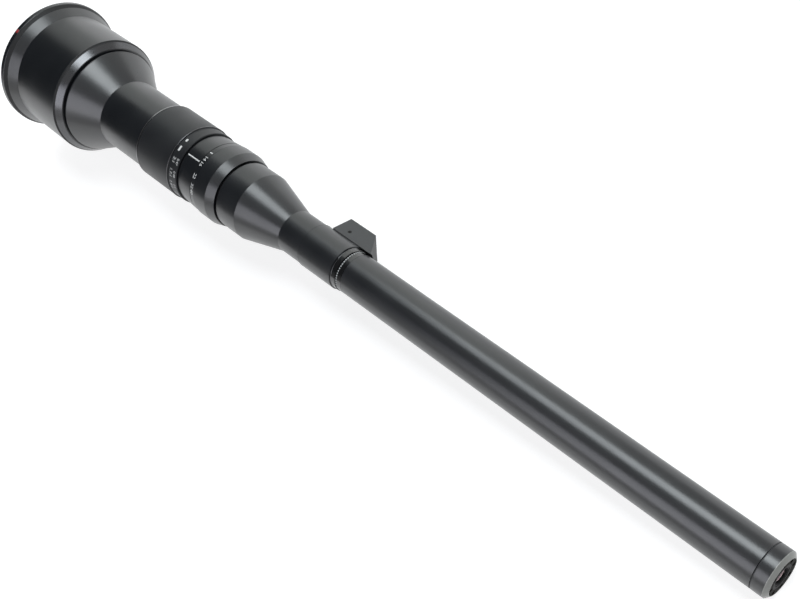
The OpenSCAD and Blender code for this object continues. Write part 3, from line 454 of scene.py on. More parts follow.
SOCKET_STEEL = CastFinish("socket_steel", (0.60, 0.60, 0.60), 0.24, metallic=1.0, grain=0.4 * MM,
                          grain_depth=0.002 * MM, mottle=2 * MM)
GOLD = CastFinish("contact_gold", (0.80, 0.60, 0.24), 0.22, metallic=1.0, grain=0.2 * MM,
                  grain_depth=0.001 * MM, mottle=1 * MM)
WIRE_RED = CastFinish("wire_red", (0.35, 0.02, 0.02), 0.45, grain=0.3 * MM, mottle=3 * MM)
MASK_BLACK = CastFinish("mask_black", (0.010, 0.010, 0.007), 0.52, specular=0.03, grain=0.3 * MM,
                        grain_depth=0.003 * MM, mottle=2 * MM, roughness_spread=0.05)
PRINT_WHITE = CastFinish("print_white", (0.62, 0.62, 0.61), 0.5, grain=0.08 * MM,
                         mottle=0.7 * MM, colour_spread=0.1)
PRINT_GREY = CastFinish("print_grey", (0.46, 0.47, 0.47), 0.5, grain=0.08 * MM,
                        mottle=0.7 * MM, colour_spread=0.2)
GLASS = GlassFinish("optical_glass", (0.86, 0.95, 0.93), 0.01)
BOARD = BoardFinish("board_green", (0.012, 0.085, 0.035), 0.35)
LAMP = LampFinish("lamp_white", (0.85, 0.86, 0.82), 0.15)


@dataclass
class Node:
    """A carried-over node of the frame: its box, its outer radius and its finish."""

    name: str

    def __post_init__(self) -> None:
        """Reads the node's box and finds its mesh."""
        low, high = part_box(self.name)
        self.x0, self.x1, self.radius = low.x, high.x, high.z
        self.mesh: bpy.types.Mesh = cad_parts[self.name].data

    @cached_property
    def tree(self) -> BVHTree:
        """The node's triangles, for finding its surface."""
        return BVHTree.FromPolygons([vert.co for vert in self.mesh.vertices],
                                    [face.vertices for face in self.mesh.polygons])

    def surface(self, x: float) -> float:
        """Outer radius of the node at a place along the axis."""
        hit = self.tree.ray_cast(Vector((x, 0, 2 * self.radius)), Vector((0, 0, -1)))[0]
        return hit.z if hit else self.radius

    def dress(self, finish: Finish) -> None:
        """Gives the node's own mesh a finish."""
        self.mesh.materials.clear()
        self.mesh.materials.append(finish.material())


def on_ring(x: float, radius: float, angle: float) -> Vector:
    """The point at x, a radius and an angle in radians from the index towards +Y."""
    return Vector((x, radius * math.sin(angle), radius * math.cos(angle)))


def mesh_of(name: str, shape: bmesh.types.BMesh) -> bpy.types.Mesh:
    """Turns a drawn shape into a mesh and frees it.

    Args:
        name: The mesh's name.
        shape: The shape, which is freed.

    Returns:
        The mesh.
    """
    mesh = bpy.data.meshes.new(name)
    shape.to_mesh(mesh)
    shape.free()
    return mesh


def new_object(name: str, mesh: bpy.types.Mesh, finish: Finish) -> bpy.types.Object:
    """Links a mesh into the scene as an object at the origin.

    Args:
        name: The object's name.
        mesh: Its mesh, in place.
        finish: Its one finish.

    Returns:
        The object.
    """
    mesh.materials.clear()
    mesh.materials.append(finish.material())
    made = bpy.data.objects.new(name, mesh)
    bpy.context.scene.collection.objects.link(made)
    return made


def seat(piece: bpy.types.Object, body: Body) -> bpy.types.Object:
    """Lets a finished piece ride on its body.

    Args:
        piece: The piece, in place.
        body: The body that carries it.

    Returns:
        The same piece.
    """
    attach(piece, body.value)
    LOG.info("%s: %d faces on %s", piece.name, len(piece.data.polygons), body.value)
    return piece


def turned_mesh(name: str, profile: Sequence[tuple[float, float]],
                segments: int = 128) -> bpy.types.Mesh:
    """A closed, smooth solid of revolution about the optical axis.

    Args:
        name: The mesh's name.
        profile: Closed outline as places along the axis and radii.
        segments: Number of faces round the axis.

    Returns:
        The mesh, with its poles closed and its faces outwards.
    """
    shape = bmesh.new()
    rings: list[list[bmesh.types.BMVert]] = []
    for x, radius in profile:
        if radius < MERGE_REACH:
            rings.append([shape.verts.new((x, 0, 0))])
        else:
            turns = [math.tau * i / segments for i in range(segments)]
            rings.append([shape.verts.new(on_ring(x, radius, turn)) for turn in turns])
    for here, there in zip(rings, rings[1:] + rings[:1]):
        if len(here) == 1 and len(there) == 1:
            continue
        for i in range(segments):
            j = (i + 1) % segments
            corners = [here[i % len(here)], here[j % len(here)],
                       there[j % len(there)], there[i % len(there)]]
            shape.faces.new(list(dict.fromkeys(corners))).smooth = True
    bmesh.ops.recalc_face_normals(shape, faces=shape.faces)
    return mesh_of(name, shape)


def hoop(name: str, outline: Sequence[tuple[float, float]], finish: Finish,
         body: Body) -> bpy.types.Object:
    """A turned ring with crisp edges, seated on its body.

    Args:
        name: The piece's name.
        outline: Its section as places along the axis and radii.
        finish: Its finish.
        body: The body that carries it.

    Returns:
        The ring.
    """
    mesh = turned_mesh(name, outline, segments=160)
    mesh.set_sharp_from_angle(angle=math.radians(25))
    return seat(new_object(name, mesh, finish), body)


def skin(name: str, node: Node, x0: float, x1: float, finish: Finish, body: Body,
         rise: float = 0.03 * MM) -> bpy.types.Object:
    """A thin strip that follows a turned node's surface between two places along the axis.

    Args:
        name: The piece's name.
        node: The node that it lies on.
        x0: Its rear edge.
        x1: Its front edge.
        finish: Its finish.
        body: The body that carries it.
        rise: How far it stands out from the surface.

    Returns:
        The strip.
    """
    steps = 6
    places = [x0 + (x1 - x0) * i / steps for i in range(steps + 1)]
    outer = [(x, node.surface(x) + rise) for x in places]
    inner = [(x, radius - 2 * rise) for x, radius in reversed(outer)]
    return hoop(name, outer + inner, finish, body)


def lip(name: str, node: Node, start: float, width: float, probe: float = 0.25 * MM,
        sink: float = 0.05 * MM) -> bpy.types.Object:
    """A narrow black ring behind a node's rear edge, which closes part of the groove there.

    Args:
        name: The piece's name.
        node: The node that it leans on.
        start: Place of the node's rear edge.
        width: How far the ring reaches into the groove.
        probe: How far in front of the edge the node's radius is read.
        sink: How far the ring stays under that radius.

    Returns:
        The ring, with its free edge chamfered.
    """
    chamfer, depth, overlap = 0.12 * MM, 0.9 * MM, 0.1 * MM
    x0, x1, radius = start - width, start + overlap, node.surface(start + probe) - sink
    outline = [(x0, radius - depth), (x1, radius - depth), (x1, radius), (x0 + chamfer, radius),
               (x0, radius - chamfer)]
    return hoop(name, outline, BLACK_ANODISED, Body.BARREL)


def bead(name: str, x: float, radius: float, body: Body) -> bpy.types.Object:
    """A bright round bead about the axis, which catches light on an edge.

    Args:
        name: The piece's name.
        x: Place of its middle along the axis.
        radius: Radius of the circle that its middle follows.
        body: The body that carries it.

    Returns:
        The bead.
    """
    turns = [math.tau * i / 16 for i in range(16)]
    outline = [(x + BEAD_WIDTH / 2 * math.cos(turn), radius + BEAD_WIDTH / 2 * math.sin(turn))
               for turn in turns]
    return hoop(name, outline, BRIGHT_EDGE, body)


@dataclass(frozen=True)
class Print:
    """Paint printed on a ring: what it shows is drawn flat and then bent round the axis."""

    ring: Node
    thickness: float = 0.05 * MM
    strip: float = 0.4 * MM
    corner_points: int = 16
    cap_height: float = 0.7

    def bend(self, shape: bmesh.types.BMesh, x: float, angle_deg: float) -> bmesh.types.BMesh:
        """Bends a flat drawing onto the ring.

        Args:
            shape: The drawing: its x runs with the reading direction, its y towards the tip.
            x: Place of its middle along the optical axis.
            angle_deg: Angle of its middle from the index.

        Returns:
            The same drawing, bent.
        """
        angle = math.radians(angle_deg)
        reach = max(abs(vert.co.x) for vert in shape.verts)
        cuts = int(reach / self.strip)
        for i in range(-cuts, cuts + 1):
            parts = shape.verts[:] + shape.edges[:] + shape.faces[:]
            bmesh.ops.bisect_plane(shape, geom=parts, plane_co=(i * self.strip, 0, 0),
                                   plane_no=(1, 0, 0), dist=MERGE_REACH)
        for vert in shape.verts:
            along = x + vert.co.y
            radius = self.ring.surface(along)
            vert.co = on_ring(along, radius + vert.co.z, angle - vert.co.x / radius)
        return shape

    def words(self, text: str, height: float) -> bmesh.types.BMesh:
        """Draws plain figures flat, centred, with the print's thickness about zero.

        Args:
            text: The figures.
            height: Height of a figure.

        Returns:
            The drawing.
        """
        curve = bpy.data.curves.new("figures", "FONT")
        curve.body = text
        curve.align_x = curve.align_y = "CENTER"
        curve.resolution_u = 3
        curve.extrude = 0.5
        holder = bpy.data.objects.new("figures", curve)
        bpy.context.scene.collection.objects.link(holder)
        flat = bpy.data.meshes.new_from_object(
            holder.evaluated_get(bpy.context.evaluated_depsgraph_get()))
        shape = bmesh.new()
        shape.from_mesh(flat)
        bmesh.ops.remove_doubles(shape, verts=shape.verts, dist=1e-5)
        scale = height / self.cap_height
        bmesh.ops.scale(shape, vec=(scale, scale, self.thickness), verts=shape.verts)
        bpy.data.objects.remove(holder)
        bpy.data.curves.remove(curve)
        bpy.data.meshes.remove(flat)
        return shape

    def bar(self, width: float, length: float, roundness: float) -> bmesh.types.BMesh:
        """Draws a bar with round corners flat.

        Args:
            width: Its width, round the axis.
            length: Its length, along the axis.
            roundness: Radius of its corners.

        Returns:
            The drawing.
        """
        shape = bmesh.new()
        outline = []
        for point in range(self.corner_points):
            angle = math.tau * (point + 0.5) / self.corner_points
            side, end = math.cos(angle), math.sin(angle)
            outline.append((math.copysign(width / 2 - roundness, side) + roundness * side,
                            math.copysign(length / 2 - roundness, end) + roundness * end,
                            -self.thickness / 2))
        base = shape.faces.new([shape.verts.new(point) for point in outline])
        grown = bmesh.ops.extrude_face_region(shape, geom=[base])["geom"]
        top = [part for part in grown if isinstance(part, bmesh.types.BMVert)]
        bmesh.ops.translate(shape, vec=(0, 0, self.thickness), verts=top)
        bmesh.ops.recalc_face_normals(shape, faces=shape.faces)
        return shape


def gather(name: str, shapes: Iterable[bmesh.types.BMesh], body: Body) -> bpy.types.Object:
    """Joins bent drawings into one piece of white print.

    Args:
        name: The piece's name.
        shapes: The drawings, which are freed.
        body: The body that carries it.

    Returns:
        The piece, at the origin.
    """
    whole = bmesh.new()
    for shape in shapes:
        part = mesh_of("part", shape)
        whole.from_mesh(part)
        bpy.data.meshes.remove(part)
    bmesh.ops.triangulate(whole, faces=[face for face in whole.faces if len(face.verts) > 4])
    return seat(new_object(name, mesh_of(name, whole), PRINT_WHITE), body)


@dataclass(frozen=True)
class Input:
    """A named input of a Geometry Nodes tree, with its type and its value here."""

    name: str
    kind: str
    value: Any


class Pattern:
    """A Geometry Nodes tree that repeats something, and the plain mesh that it makes."""

    def __init__(self, name: str, inputs: Sequence[Input], finish: Finish) -> None:
        """Makes the tree with its named inputs.

        Args:
            name: Name of the tree and of the piece.
            inputs: The inputs, in order.
            finish: Finish of the result.
        """
        self.name = name
        self.finish = finish
        self.inputs = inputs
        self.tree = bpy.data.node_groups.new(name, "GeometryNodeTree")
        self.tree.interface.new_socket("Geometry", in_out="OUTPUT",
                                       socket_type="NodeSocketGeometry")
        self.sockets = {item.name: self.tree.interface.new_socket(
            item.name, in_out="INPUT", socket_type=item.kind) for item in inputs}
        self.graph = Graph(self.tree)

    def value(self, name: str) -> Wire:
        """One of the tree's named inputs, as a wire."""
        return self.graph.add("NodeGroupInput", output=name)

    def vector(self, x: Any = 0.0, y: Any = 0.0, z: Any = 0.0) -> Wire:
        """A vector from three values or wires."""
        return self.graph.add("ShaderNodeCombineXYZ", {}, {0: x, 1: y, 2: z})

    def repeat(self, points: Wire, shape: Wire, turn: Any = (0.0, 0.0, 0.0)) -> Wire:
        """A copy of a shape at each point, turned."""
        return self.graph.add("GeometryNodeInstanceOnPoints", {},
                              {"Points": points, "Instance": shape, "Rotation": turn})

    def face_tip(self, shape: Wire) -> Wire:
        """Turns what was made about Z to face the tip, at the input named Place."""
        return self.graph.add("GeometryNodeTransform", {}, {
            "Geometry": shape, "Rotation": (0.0, math.pi / 2, 0.0),
            "Translation": self.vector(self.value("Place"))})

    def bake(self, shape: Wire) -> bpy.types.Object:
        """Ends the tree, evaluates it once and keeps the result as a plain mesh.

        Args:
            shape: The geometry, instances among it.

        Returns:
            The finished object, with no modifier.
        """
        real = self.graph.add("GeometryNodeRealizeInstances", {}, {0: shape})
        dressed = self.graph.add("GeometryNodeSetMaterial", {},
                                 {"Geometry": real, "Material": self.finish.material()})
        self.graph.add("NodeGroupOutput", {}, {0: dressed})
        title = f"{self.name}_holder"
        holder = new_object(title, bpy.data.meshes.new(title), self.finish)
        modifier = holder.modifiers.new(self.name, "NODES")
        modifier.node_group = self.tree
        for item in self.inputs:
            modifier[self.sockets[item.name].identifier] = item.value
        bpy.context.view_layer.update()
        baked = bpy.data.meshes.new_from_object(
            holder.evaluated_get(bpy.context.evaluated_depsgraph_get()))
        bpy.data.objects.remove(holder)
        whole = bmesh.new()
        whole.from_mesh(baked)
        bpy.data.meshes.remove(baked)
        bmesh.ops.remove_doubles(whole, verts=whole.verts, dist=MERGE_REACH)
        bmesh.ops.recalc_face_normals(whole, faces=whole.faces)
        return new_object(self.name, mesh_of(self.name, whole), self.finish)


class SubAssembly:
    """A part of the lens: the finish of each of its nodes, and what it adds to them."""

    finishes: ClassVar[dict[str, Finish]] = {}

    def build(self) -> None:
        """Gives each node its finish and adds the rest."""
        for name, finish in self.finishes.items():
            Node(name).dress(finish)
        self.add_trim()

    def add_trim(self) -> None:
        """Adds what the nodes don't show by themselves, where a part has any."""


@dataclass
class RearHousing(SubAssembly):
    """Mount, rim, rear barrel, cone and neck, with the ridges that catch stray light inside."""

    ridge_pitch: float = 1.1 * MM
    ridge_depth: float = 0.55 * MM
    ridge_sides: int = 96
    barrel_wall: float = 2 * MM
    rim_width: float = 1 * MM
    # Span of a dark matte strip over the bevel's first part: painted shade where the rim's wider
    # cylinder would catch no lamp.
    rim_painted_shade: tuple[float, float] = (3.34 * MM, 5.45 * MM)
    # Span of a dark matte strip at the shoulder's rear edge: painted shade, not a feature of the
    # part.
    shoulder_painted_shade: tuple[float, float] = (44.44 * MM, 45.35 * MM)
    shoulder_face: tuple[float, float] = (45.37 * MM, 48.36 * MM)
    cone_start: float = 50.2 * MM
    cone_lip: float = 0.65 * MM
    finishes: ClassVar[dict[str, Finish]] = {
        "bayonet_mount": CHROME, "mount_screws": SCREW_STEEL, "mount_ring": BLACK_ANODISED,
        "index_dot": RED_ENAMEL, "rear_barrel": BLACK_ANODISED, "rear_cone": BLACK_ANODISED,
        "rear_cell": MATTE_BLACK, "rear_retainer": MATTE_BLACK,
    }

    def ridges(self) -> bpy.types.Object:
        """Rings with a saw-tooth section inside the rear barrel, one after the other.

        Returns:
            The ridges, seated.
        """
        barrel = Node("rear_barrel")
        first = Node("mount_ring").x1 + self.ridge_pitch
        last = Node("rear_cell").x0 - self.ridge_pitch
        bore = barrel.surface(barrel.x0 + self.rim_width) - self.barrel_wall
        pattern = Pattern("stray_light_ridges", [
            Input("Count", "NodeSocketInt", int((last - first) / self.ridge_pitch)),
            Input("Pitch", "NodeSocketFloat", self.ridge_pitch),
            Input("Bore radius", "NodeSocketFloat", bore),
            Input("Depth", "NodeSocketFloat", self.ridge_depth),
            Input("First place", "NodeSocketFloat", first),
            Input("Sides", "NodeSocketInt", self.ridge_sides),
        ], MATTE_BLACK)
        graph = pattern.graph
        circle = graph.add("GeometryNodeCurvePrimitiveCircle", {},
                           {"Resolution": pattern.value("Sides"),
                            "Radius": pattern.value("Bore radius")})
        tooth = graph.add("GeometryNodeCurvePrimitiveCircle", {},
                          {"Resolution": 3, "Radius": pattern.value("Depth")})
        ridge = graph.add("GeometryNodeCurveToMesh", {}, {"Curve": circle, "Profile Curve": tooth})
        line = graph.add("GeometryNodeMeshLine", {}, {
            "Count": pattern.value("Count"),
            "Start Location": pattern.vector(pattern.value("First place")),
            "Offset": pattern.vector(pattern.value("Pitch"))})
        ridges = pattern.repeat(line, ridge, (0.0, math.pi / 2, 0.0))
        return seat(pattern.bake(ridges), Body.BARREL)

    def add_trim(self) -> None:
        """Paints shade with dark matte strips on the rim's bevel and the shoulder's rear edge, gives
        the shoulder's face a brushed metal strip, narrows the groove and adds the ridges.
        """
        # Painted shade: a dark matte strip over the rim's bevel dims its highlight.
        skin("rim_painted_shade", Node("mount_ring"), *self.rim_painted_shade, MATTE_BLACK, Body.BARREL)
        barrel = Node("rear_barrel")
        # Painted shade: a dark matte strip along the shoulder's rear edge.
        skin("shoulder_painted_shade", barrel, *self.shoulder_painted_shade, MATTE_BLACK, Body.BARREL)
        skin("shoulder_face", barrel, *self.shoulder_face, BRUSHED_EDGE, Body.BARREL)
        lip("cone_lip", Node("rear_cone"), self.cone_start, self.cone_lip)
        self.ridges()


@dataclass
class FocusRing(SubAssembly):
    """Focus ring with its grip, its distance band and the scale on it."""

    band_length: float = 6.3 * MM
    bar_place: float = 1.9 * MM
    bar_width: float = 1.2 * MM
    bar_roundness: float = 0.36 * MM
    near_row: tuple[float, float] = (2.05 * MM, 1.75 * MM)
    far_row: tuple[float, float] = (4.75 * MM, 1.35 * MM)
    edge_setback: float = 0.3 * MM
    edge_probe: float = 0.1 * MM
    bars: tuple[tuple[float, float], ...] = ((15.0, 1.5 * MM), (-0.5, 2.7 * MM))
    groups: tuple[tuple[float, str, str], ...] = (
        (-19.5, "2:1", "0.47"), (-39.5, "1.7:1", "0.48"), (-60.0, "1.4:1", "0.5"),
        (-80.0, "1:1", "0.55"), (-101.0, "1:1.5", "0.6"), (-123.0, "1:2", "0.8"),
        (-146.0, "1:4", "1.2"), (-169.0, "1:8", "2"),
    )
    finishes: ClassVar[dict[str, Finish]] = {
        "focus_ring": RING_BLACK, "focus_retainer": MATTE_BLACK, "trim_ring": TRIM}

    def add_trim(self) -> None:
        """Prints the scale, two rows of figures with their places and heights, and its edge."""
        ring = Node("focus_ring")
        band = Print(ring)
        start = ring.x1 - self.band_length
        shapes = [band.bend(band.bar(length, self.bar_width, self.bar_roundness),
                            start + self.bar_place, angle) for angle, length in self.bars]
        for angle, *texts in self.groups:
            shapes += [band.bend(band.words(text, height), start + row, angle)
                       for text, (row, height) in zip(texts, (self.near_row, self.far_row))]
        gather("focus_scale", shapes, Body.FOCUS)
        edge = start - self.edge_setback
        bead("band_edge", edge, ring.surface(edge - self.edge_probe) - BEAD_WIDTH / 4, Body.FOCUS)


@dataclass
class ApertureRing(SubAssembly):
    """Aperture ring with its figures, and the fixed index ring with its line."""

    line_width: float = 0.55 * MM
    line_inset: float = 0.22 * MM
    line_roundness: float = 0.11 * MM
    index_lip: float = 0.3 * MM
    front_lip: float = 0.55 * MM
    front_start: float = 159.3 * MM
    seam: tuple[float, float] = (0.02 * MM, 0.26 * MM)
    figure_place: float = 1.5 * MM
    figure_height: float = 1.9 * MM
    tick_width: float = 0.55 * MM
    tick_roundness: float = 0.22 * MM
    tick_angle: float = 20.5
    figures: tuple[tuple[str, float], ...] = (
        ("14", 9.0), ("16", -1.0), ("22", -21.5), ("32", -37.0), ("40", -47.0))
    finishes: ClassVar[dict[str, Finish]] = {
        "aperture_ring": BLACK_ANODISED, "index_ring": BLACK_ANODISED}

    def add_trim(self) -> None:
        """Prints the figures and the line, and adds the seam and the lips of both grooves."""
        ring, index = Node("aperture_ring"), Node("index_ring")
        band, paint = Print(ring), Print(index)
        row = ring.x0 + self.figure_place
        shapes = [band.bend(band.words(text, self.figure_height), row, angle)
                  for text, angle in self.figures]
        tick = band.bar(self.tick_width, self.figure_height, self.tick_roundness)
        gather("aperture_figures", [*shapes, band.bend(tick, row, self.tick_angle)], Body.APERTURE)
        skin("ring_seam", ring, *(ring.x0 + place for place in self.seam), MATTE_BLACK,
             Body.APERTURE)
        length = index.x1 - index.x0 - 2 * self.line_inset
        line = paint.bar(self.line_width, length, self.line_roundness)
        gather("index_line", [paint.bend(line, (index.x0 + index.x1) / 2, 0.0)], Body.BARREL)
        lip("index_lip", index, index.x0, self.index_lip)
        lip("front_lip", Node("front_barrel"), self.front_start, self.front_lip)


@dataclass
class Iris(SubAssembly):
    """Blades, cam ring and keys behind the glass."""

    finishes: ClassVar[dict[str, Finish]] = {
        "iris_base": MATTE_BLACK, "iris_cover": MATTE_BLACK, "iris_cam_ring": BRASS,
        "aperture_key": BRASS, "focus_key": BRASS,
        **{f"iris_blade_{i + 1}": BLADE_STEEL for i in range(IRIS_BLADES)},
    }


@dataclass
class Optics(SubAssembly):
    """Cells and lenses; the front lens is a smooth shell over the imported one."""

    face_steps: int = 24
    front_sag: float = 0.7 * MM
    finishes: ClassVar[dict[str, Finish]] = {
        "main_barrel": MATTE_BLACK, "focus_cell": MATTE_BLACK, "stop_cell": MATTE_BLACK,
        "inner_tube": MATTE_BLACK, "tube_spacers": MATTE_BLACK, "front_cell": MATTE_BLACK,
        "front_retainer": MATTE_BLACK, "focus_lenses": GLASS, "stop_lens": GLASS,
        "relay_lenses": GLASS, "rear_lenses": GLASS, "front_lens": GLASS,
    }

    def add_trim(self) -> None:
        """Covers the front lens with one whose face bulges smoothly."""
        front = Node("front_lens")
        edge = front.x1 - self.front_sag
        shares = [i / self.face_steps for i in range(self.face_steps + 1)]
        rear = [(front.x0, front.radius * share) for share in shares]
        face = [(edge + self.front_sag * (1 - share * share), front.radius * share)
                for share in reversed(shares)]
        lens = new_object("front_glass", turned_mesh("front_glass", rear + face), GLASS)
        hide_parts("front_lens")
        seat(lens, Body.BARREL)


@dataclass
class Probe(SubAssembly):
    """Front barrel, collar, lock ring and probe tube, with the ring of ticks by the tube."""

    tick_count: int = 52
    tick_size: tuple[float, float, float] = (0.50 * MM, 0.62 * MM, 0.08 * MM)
    tick_place: float = 233.2 * MM
    seam: tuple[float, float] = (209.02 * MM, 209.26 * MM)
    lock_edge: float = 230.0 * MM
    lock_edge_sink: float = 0.08 * MM
    root: tuple[float, float] = (233.5 * MM, 235.9 * MM)
    finishes: ClassVar[dict[str, Finish]] = {
        "front_barrel": BLACK_ANODISED, "collar": BLACK_ANODISED, "lock_ring": GLOSS_BLACK,
        "probe_tube": BLACK_ANODISED}

    def ticks(self) -> bpy.types.Object:
        """A ring of small printed ticks on the tube, just in front of the lock ring.

        Returns:
            The ticks, seated.
        """
        radius = Node("probe_tube").surface(self.tick_place)
        pattern = Pattern("lock_ring_ticks", [
            Input("Count", "NodeSocketInt", self.tick_count),
            Input("Ring radius", "NodeSocketFloat", radius),
            Input("Place", "NodeSocketFloat", self.tick_place),
            Input("Tick size", "NodeSocketVector", self.tick_size),
        ], PRINT_GREY)
        graph = pattern.graph
        circle = graph.add("GeometryNodeMeshCircle", {}, {
            "Vertices": pattern.value("Count"), "Radius": pattern.value("Ring radius")})
        tick = graph.add("GeometryNodeMeshCube", {}, {"Size": pattern.value("Tick size")})
        outward = graph.add("FunctionNodeAlignRotationToVector", {"axis": "Z"},
                            {"Vector": graph.add("GeometryNodeInputPosition")})
        ticks = pattern.face_tip(pattern.repeat(circle, tick, outward))
        return seat(pattern.bake(ticks), Body.BARREL)

    def add_trim(self) -> None:
        """Adds the ticks, the collar's seam, the lock ring's edge and the tube's polished root."""
        self.ticks()
        skin("collar_seam", Node("collar"), *self.seam, MATTE_BLACK, Body.BARREL)
        radius = Node("lock_ring").surface(self.lock_edge) - self.lock_edge_sink
        bead("lock_edge", self.lock_edge, radius, Body.BARREL)
        skin("tube_root", Node("probe_tube"), *self.root, GLOSS_BLACK, Body.BARREL)


@dataclass
class Tip(SubAssembly):
    """Tip ring, pale bezel, dark face and the lamps behind its windows."""

    lamps: int = 8
    dome_radius: float = 0.8 * MM
    dome_squash: float = 0.5
    dome_sink: float = 0.35 * MM
    ring_start: float = 442.6 * MM
    ring_lip: float = 0.32 * MM
    ring_probe: float = 0.3 * MM
    ring_sink: float = 0.04 * MM
    finishes: ClassVar[dict[str, Finish]] = {
        "tip_seal": RUBBER, "tip_ring": BLACK_ANODISED, "tip_bezel": BEZEL, "led_board": BOARD,
        "led_chips": LAMP, "led_mask": MASK_BLACK}

    def domes(self) -> bpy.types.Object:
        """Clear domes in the windows, one for each lamp.

        Returns:
            The domes, seated.
        """
        mask, cell = Node("led_mask"), Node("front_cell")
        place = mask.x1 - self.dome_sink - self.dome_radius * self.dome_squash
        pattern = Pattern("lamp_domes", [
            Input("Count", "NodeSocketInt", self.lamps),
            Input("Circle radius", "NodeSocketFloat", (mask.radius + cell.radius) / 2),
            Input("Dome radius", "NodeSocketFloat", self.dome_radius),
            Input("Dome squash", "NodeSocketFloat", self.dome_squash),
            Input("Place", "NodeSocketFloat", place),
        ], LAMP)
        graph = pattern.graph
        circle = graph.add("GeometryNodeMeshCircle", {}, {
            "Vertices": pattern.value("Count"), "Radius": pattern.value("Circle radius")})
        ball = graph.add("GeometryNodeMeshUVSphere", {}, {
            "Segments": 20, "Rings": 12, "Radius": pattern.value("Dome radius")})
        dome = graph.add("GeometryNodeTransform", {}, {
            "Geometry": ball, "Scale": pattern.vector(1.0, 1.0, pattern.value("Dome squash"))})
        turned = graph.add("GeometryNodeTransform", {}, {
            "Geometry": pattern.repeat(circle, dome), "Rotation": (0.0, 0.0, math.pi / self.lamps)})
        piece = pattern.bake(pattern.face_tip(turned))
        piece.data.polygons.foreach_set("use_smooth", [True] * len(piece.data.polygons))
        return seat(piece, Body.BARREL)

    def add_trim(self) -> None:
        """Narrows the groove of the seal and adds the lamp domes."""
        lip("tip_lip", Node("tip_ring"), self.ring_start, self.ring_lip, self.ring_probe,
            self.ring_sink)
        self.domes()


@dataclass
class PowerBox(SubAssembly):
    """Power box on the collar, its board, socket, screw and wires."""

    angle: float = math.radians(123)
    half_width: float = 7.62 * MM
    gasket_inset: float = 0.5 * MM
    gasket_end: float = 229.6 * MM
    gasket_sink: float = 0.05 * MM
    gasket_rise: float = 0.35 * MM
    gasket_steps: int = 32
    contacts: int = 5
    contact_pitch: float = 0.8 * MM
    contact_size: tuple[float, float, float] = (3.0 * MM, 0.42 * MM, 0.70 * MM)
    contact_setback: float = 2.9 * MM
    finishes: ClassVar[dict[str, Finish]] = {
        "power_housing": BOX_PLASTIC, "power_cover": BOX_PLASTIC, "power_board": BOARD,
        "power_socket": SOCKET_STEEL, "power_screw": SCREW_BLACK, "led_wires": WIRE_RED}

    def gasket(self) -> bpy.types.Object:
        """A rubber pad bent round the collar that fills the gap under the box.

        Returns:
            The pad, seated.
        """
        collar = Node("collar")
        x0, x1 = Node("power_housing").x0 + self.gasket_inset, self.gasket_end
        low, high = collar.radius - self.gasket_sink, collar.radius + self.gasket_rise
        reach = math.asin(self.half_width / high)
        section = ((x0, low), (x1, low), (x1, high), (x0, high))
        shape = bmesh.new()
        cuts = []
        for i in range(self.gasket_steps + 1):
            angle = self.angle + reach * (2 * i / self.gasket_steps - 1)
            cuts.append([shape.verts.new(on_ring(x, radius, angle)) for x, radius in section])
        for here, there in zip(cuts, cuts[1:]):
            for i in range(4):
                j = (i + 1) % 4
                shape.faces.new((here[i], here[j], there[j], there[i]))
        shape.faces.new(cuts[0])
        shape.faces.new(cuts[-1])
        bmesh.ops.recalc_face_normals(shape, faces=shape.faces)
        mesh = mesh_of("box_gasket", shape)
        return seat(new_object("box_gasket", mesh, RUBBER), Body.BARREL)

    def pins(self) -> bpy.types.Object:
        """Gilt contacts on the socket's tongue, side by side.

        Returns:
            The contacts, seated.
        """
        outward = on_ring(0, 1, self.angle)
        socket = Node("power_socket")
        heights = [vert.co.dot(outward) for vert in socket.mesh.vertices]
        pattern = Pattern("socket_contacts", [
            Input("Count", "NodeSocketInt", self.contacts),
            Input("Pitch", "NodeSocketFloat", self.contact_pitch),
            Input("Contact size", "NodeSocketVector", self.contact_size),
            Input("Place", "NodeSocketFloat", socket.x0 + self.contact_setback),
            Input("Height", "NodeSocketFloat", (min(heights) + max(heights)) / 2),
        ], GOLD)
        graph = pattern.graph
        pin = graph.add("GeometryNodeMeshCube", {}, {"Size": pattern.value("Contact size")})
        first = (pattern.value("Count") - 1) * pattern.value("Pitch") * -0.5
        line = graph.add("GeometryNodeMeshLine", {}, {
            "Count": pattern.value("Count"),
            "Start Location": pattern.vector(pattern.value("Place"), first,
                                             pattern.value("Height")),
            "Offset": pattern.vector(0.0, pattern.value("Pitch"))})
        turned = graph.add("GeometryNodeTransform", {}, {
            "Geometry": pattern.repeat(line, pin), "Rotation": (-self.angle, 0.0, 0.0)})
        return seat(pattern.bake(turned), Body.BARREL)

    def add_trim(self) -> None:
        """Adds the pad under the box and the socket's contacts."""
        self.gasket()
        self.pins()


@dataclass(frozen=True)
class Softbox:
    """A long soft lamp beside the lens: where it is round the axis, its size and its level."""

    name: str
    angle_deg: float
    distance: float
    middle: float
    length: float
    width: float
    radiance: float
    colour: Colour = (1.0, 1.0, 1.0)

    def build(self) -> None:
        """Makes the lamp, turned towards the axis."""
        data = bpy.data.lights.new(self.name, "AREA")
        data.shape = "RECTANGLE"
        data.size = self.length
        data.size_y = self.width
        data.color = self.colour
        data.energy = self.radiance * math.pi * self.length * self.width
        lamp = bpy.data.objects.new(self.name, data)
        angle = math.radians(self.angle_deg)
        lamp.location = on_ring(self.middle, self.distance, angle)
        lamp.rotation_euler = (-angle, 0.0, 0.0)
        bpy.context.scene.collection.objects.link(lamp)


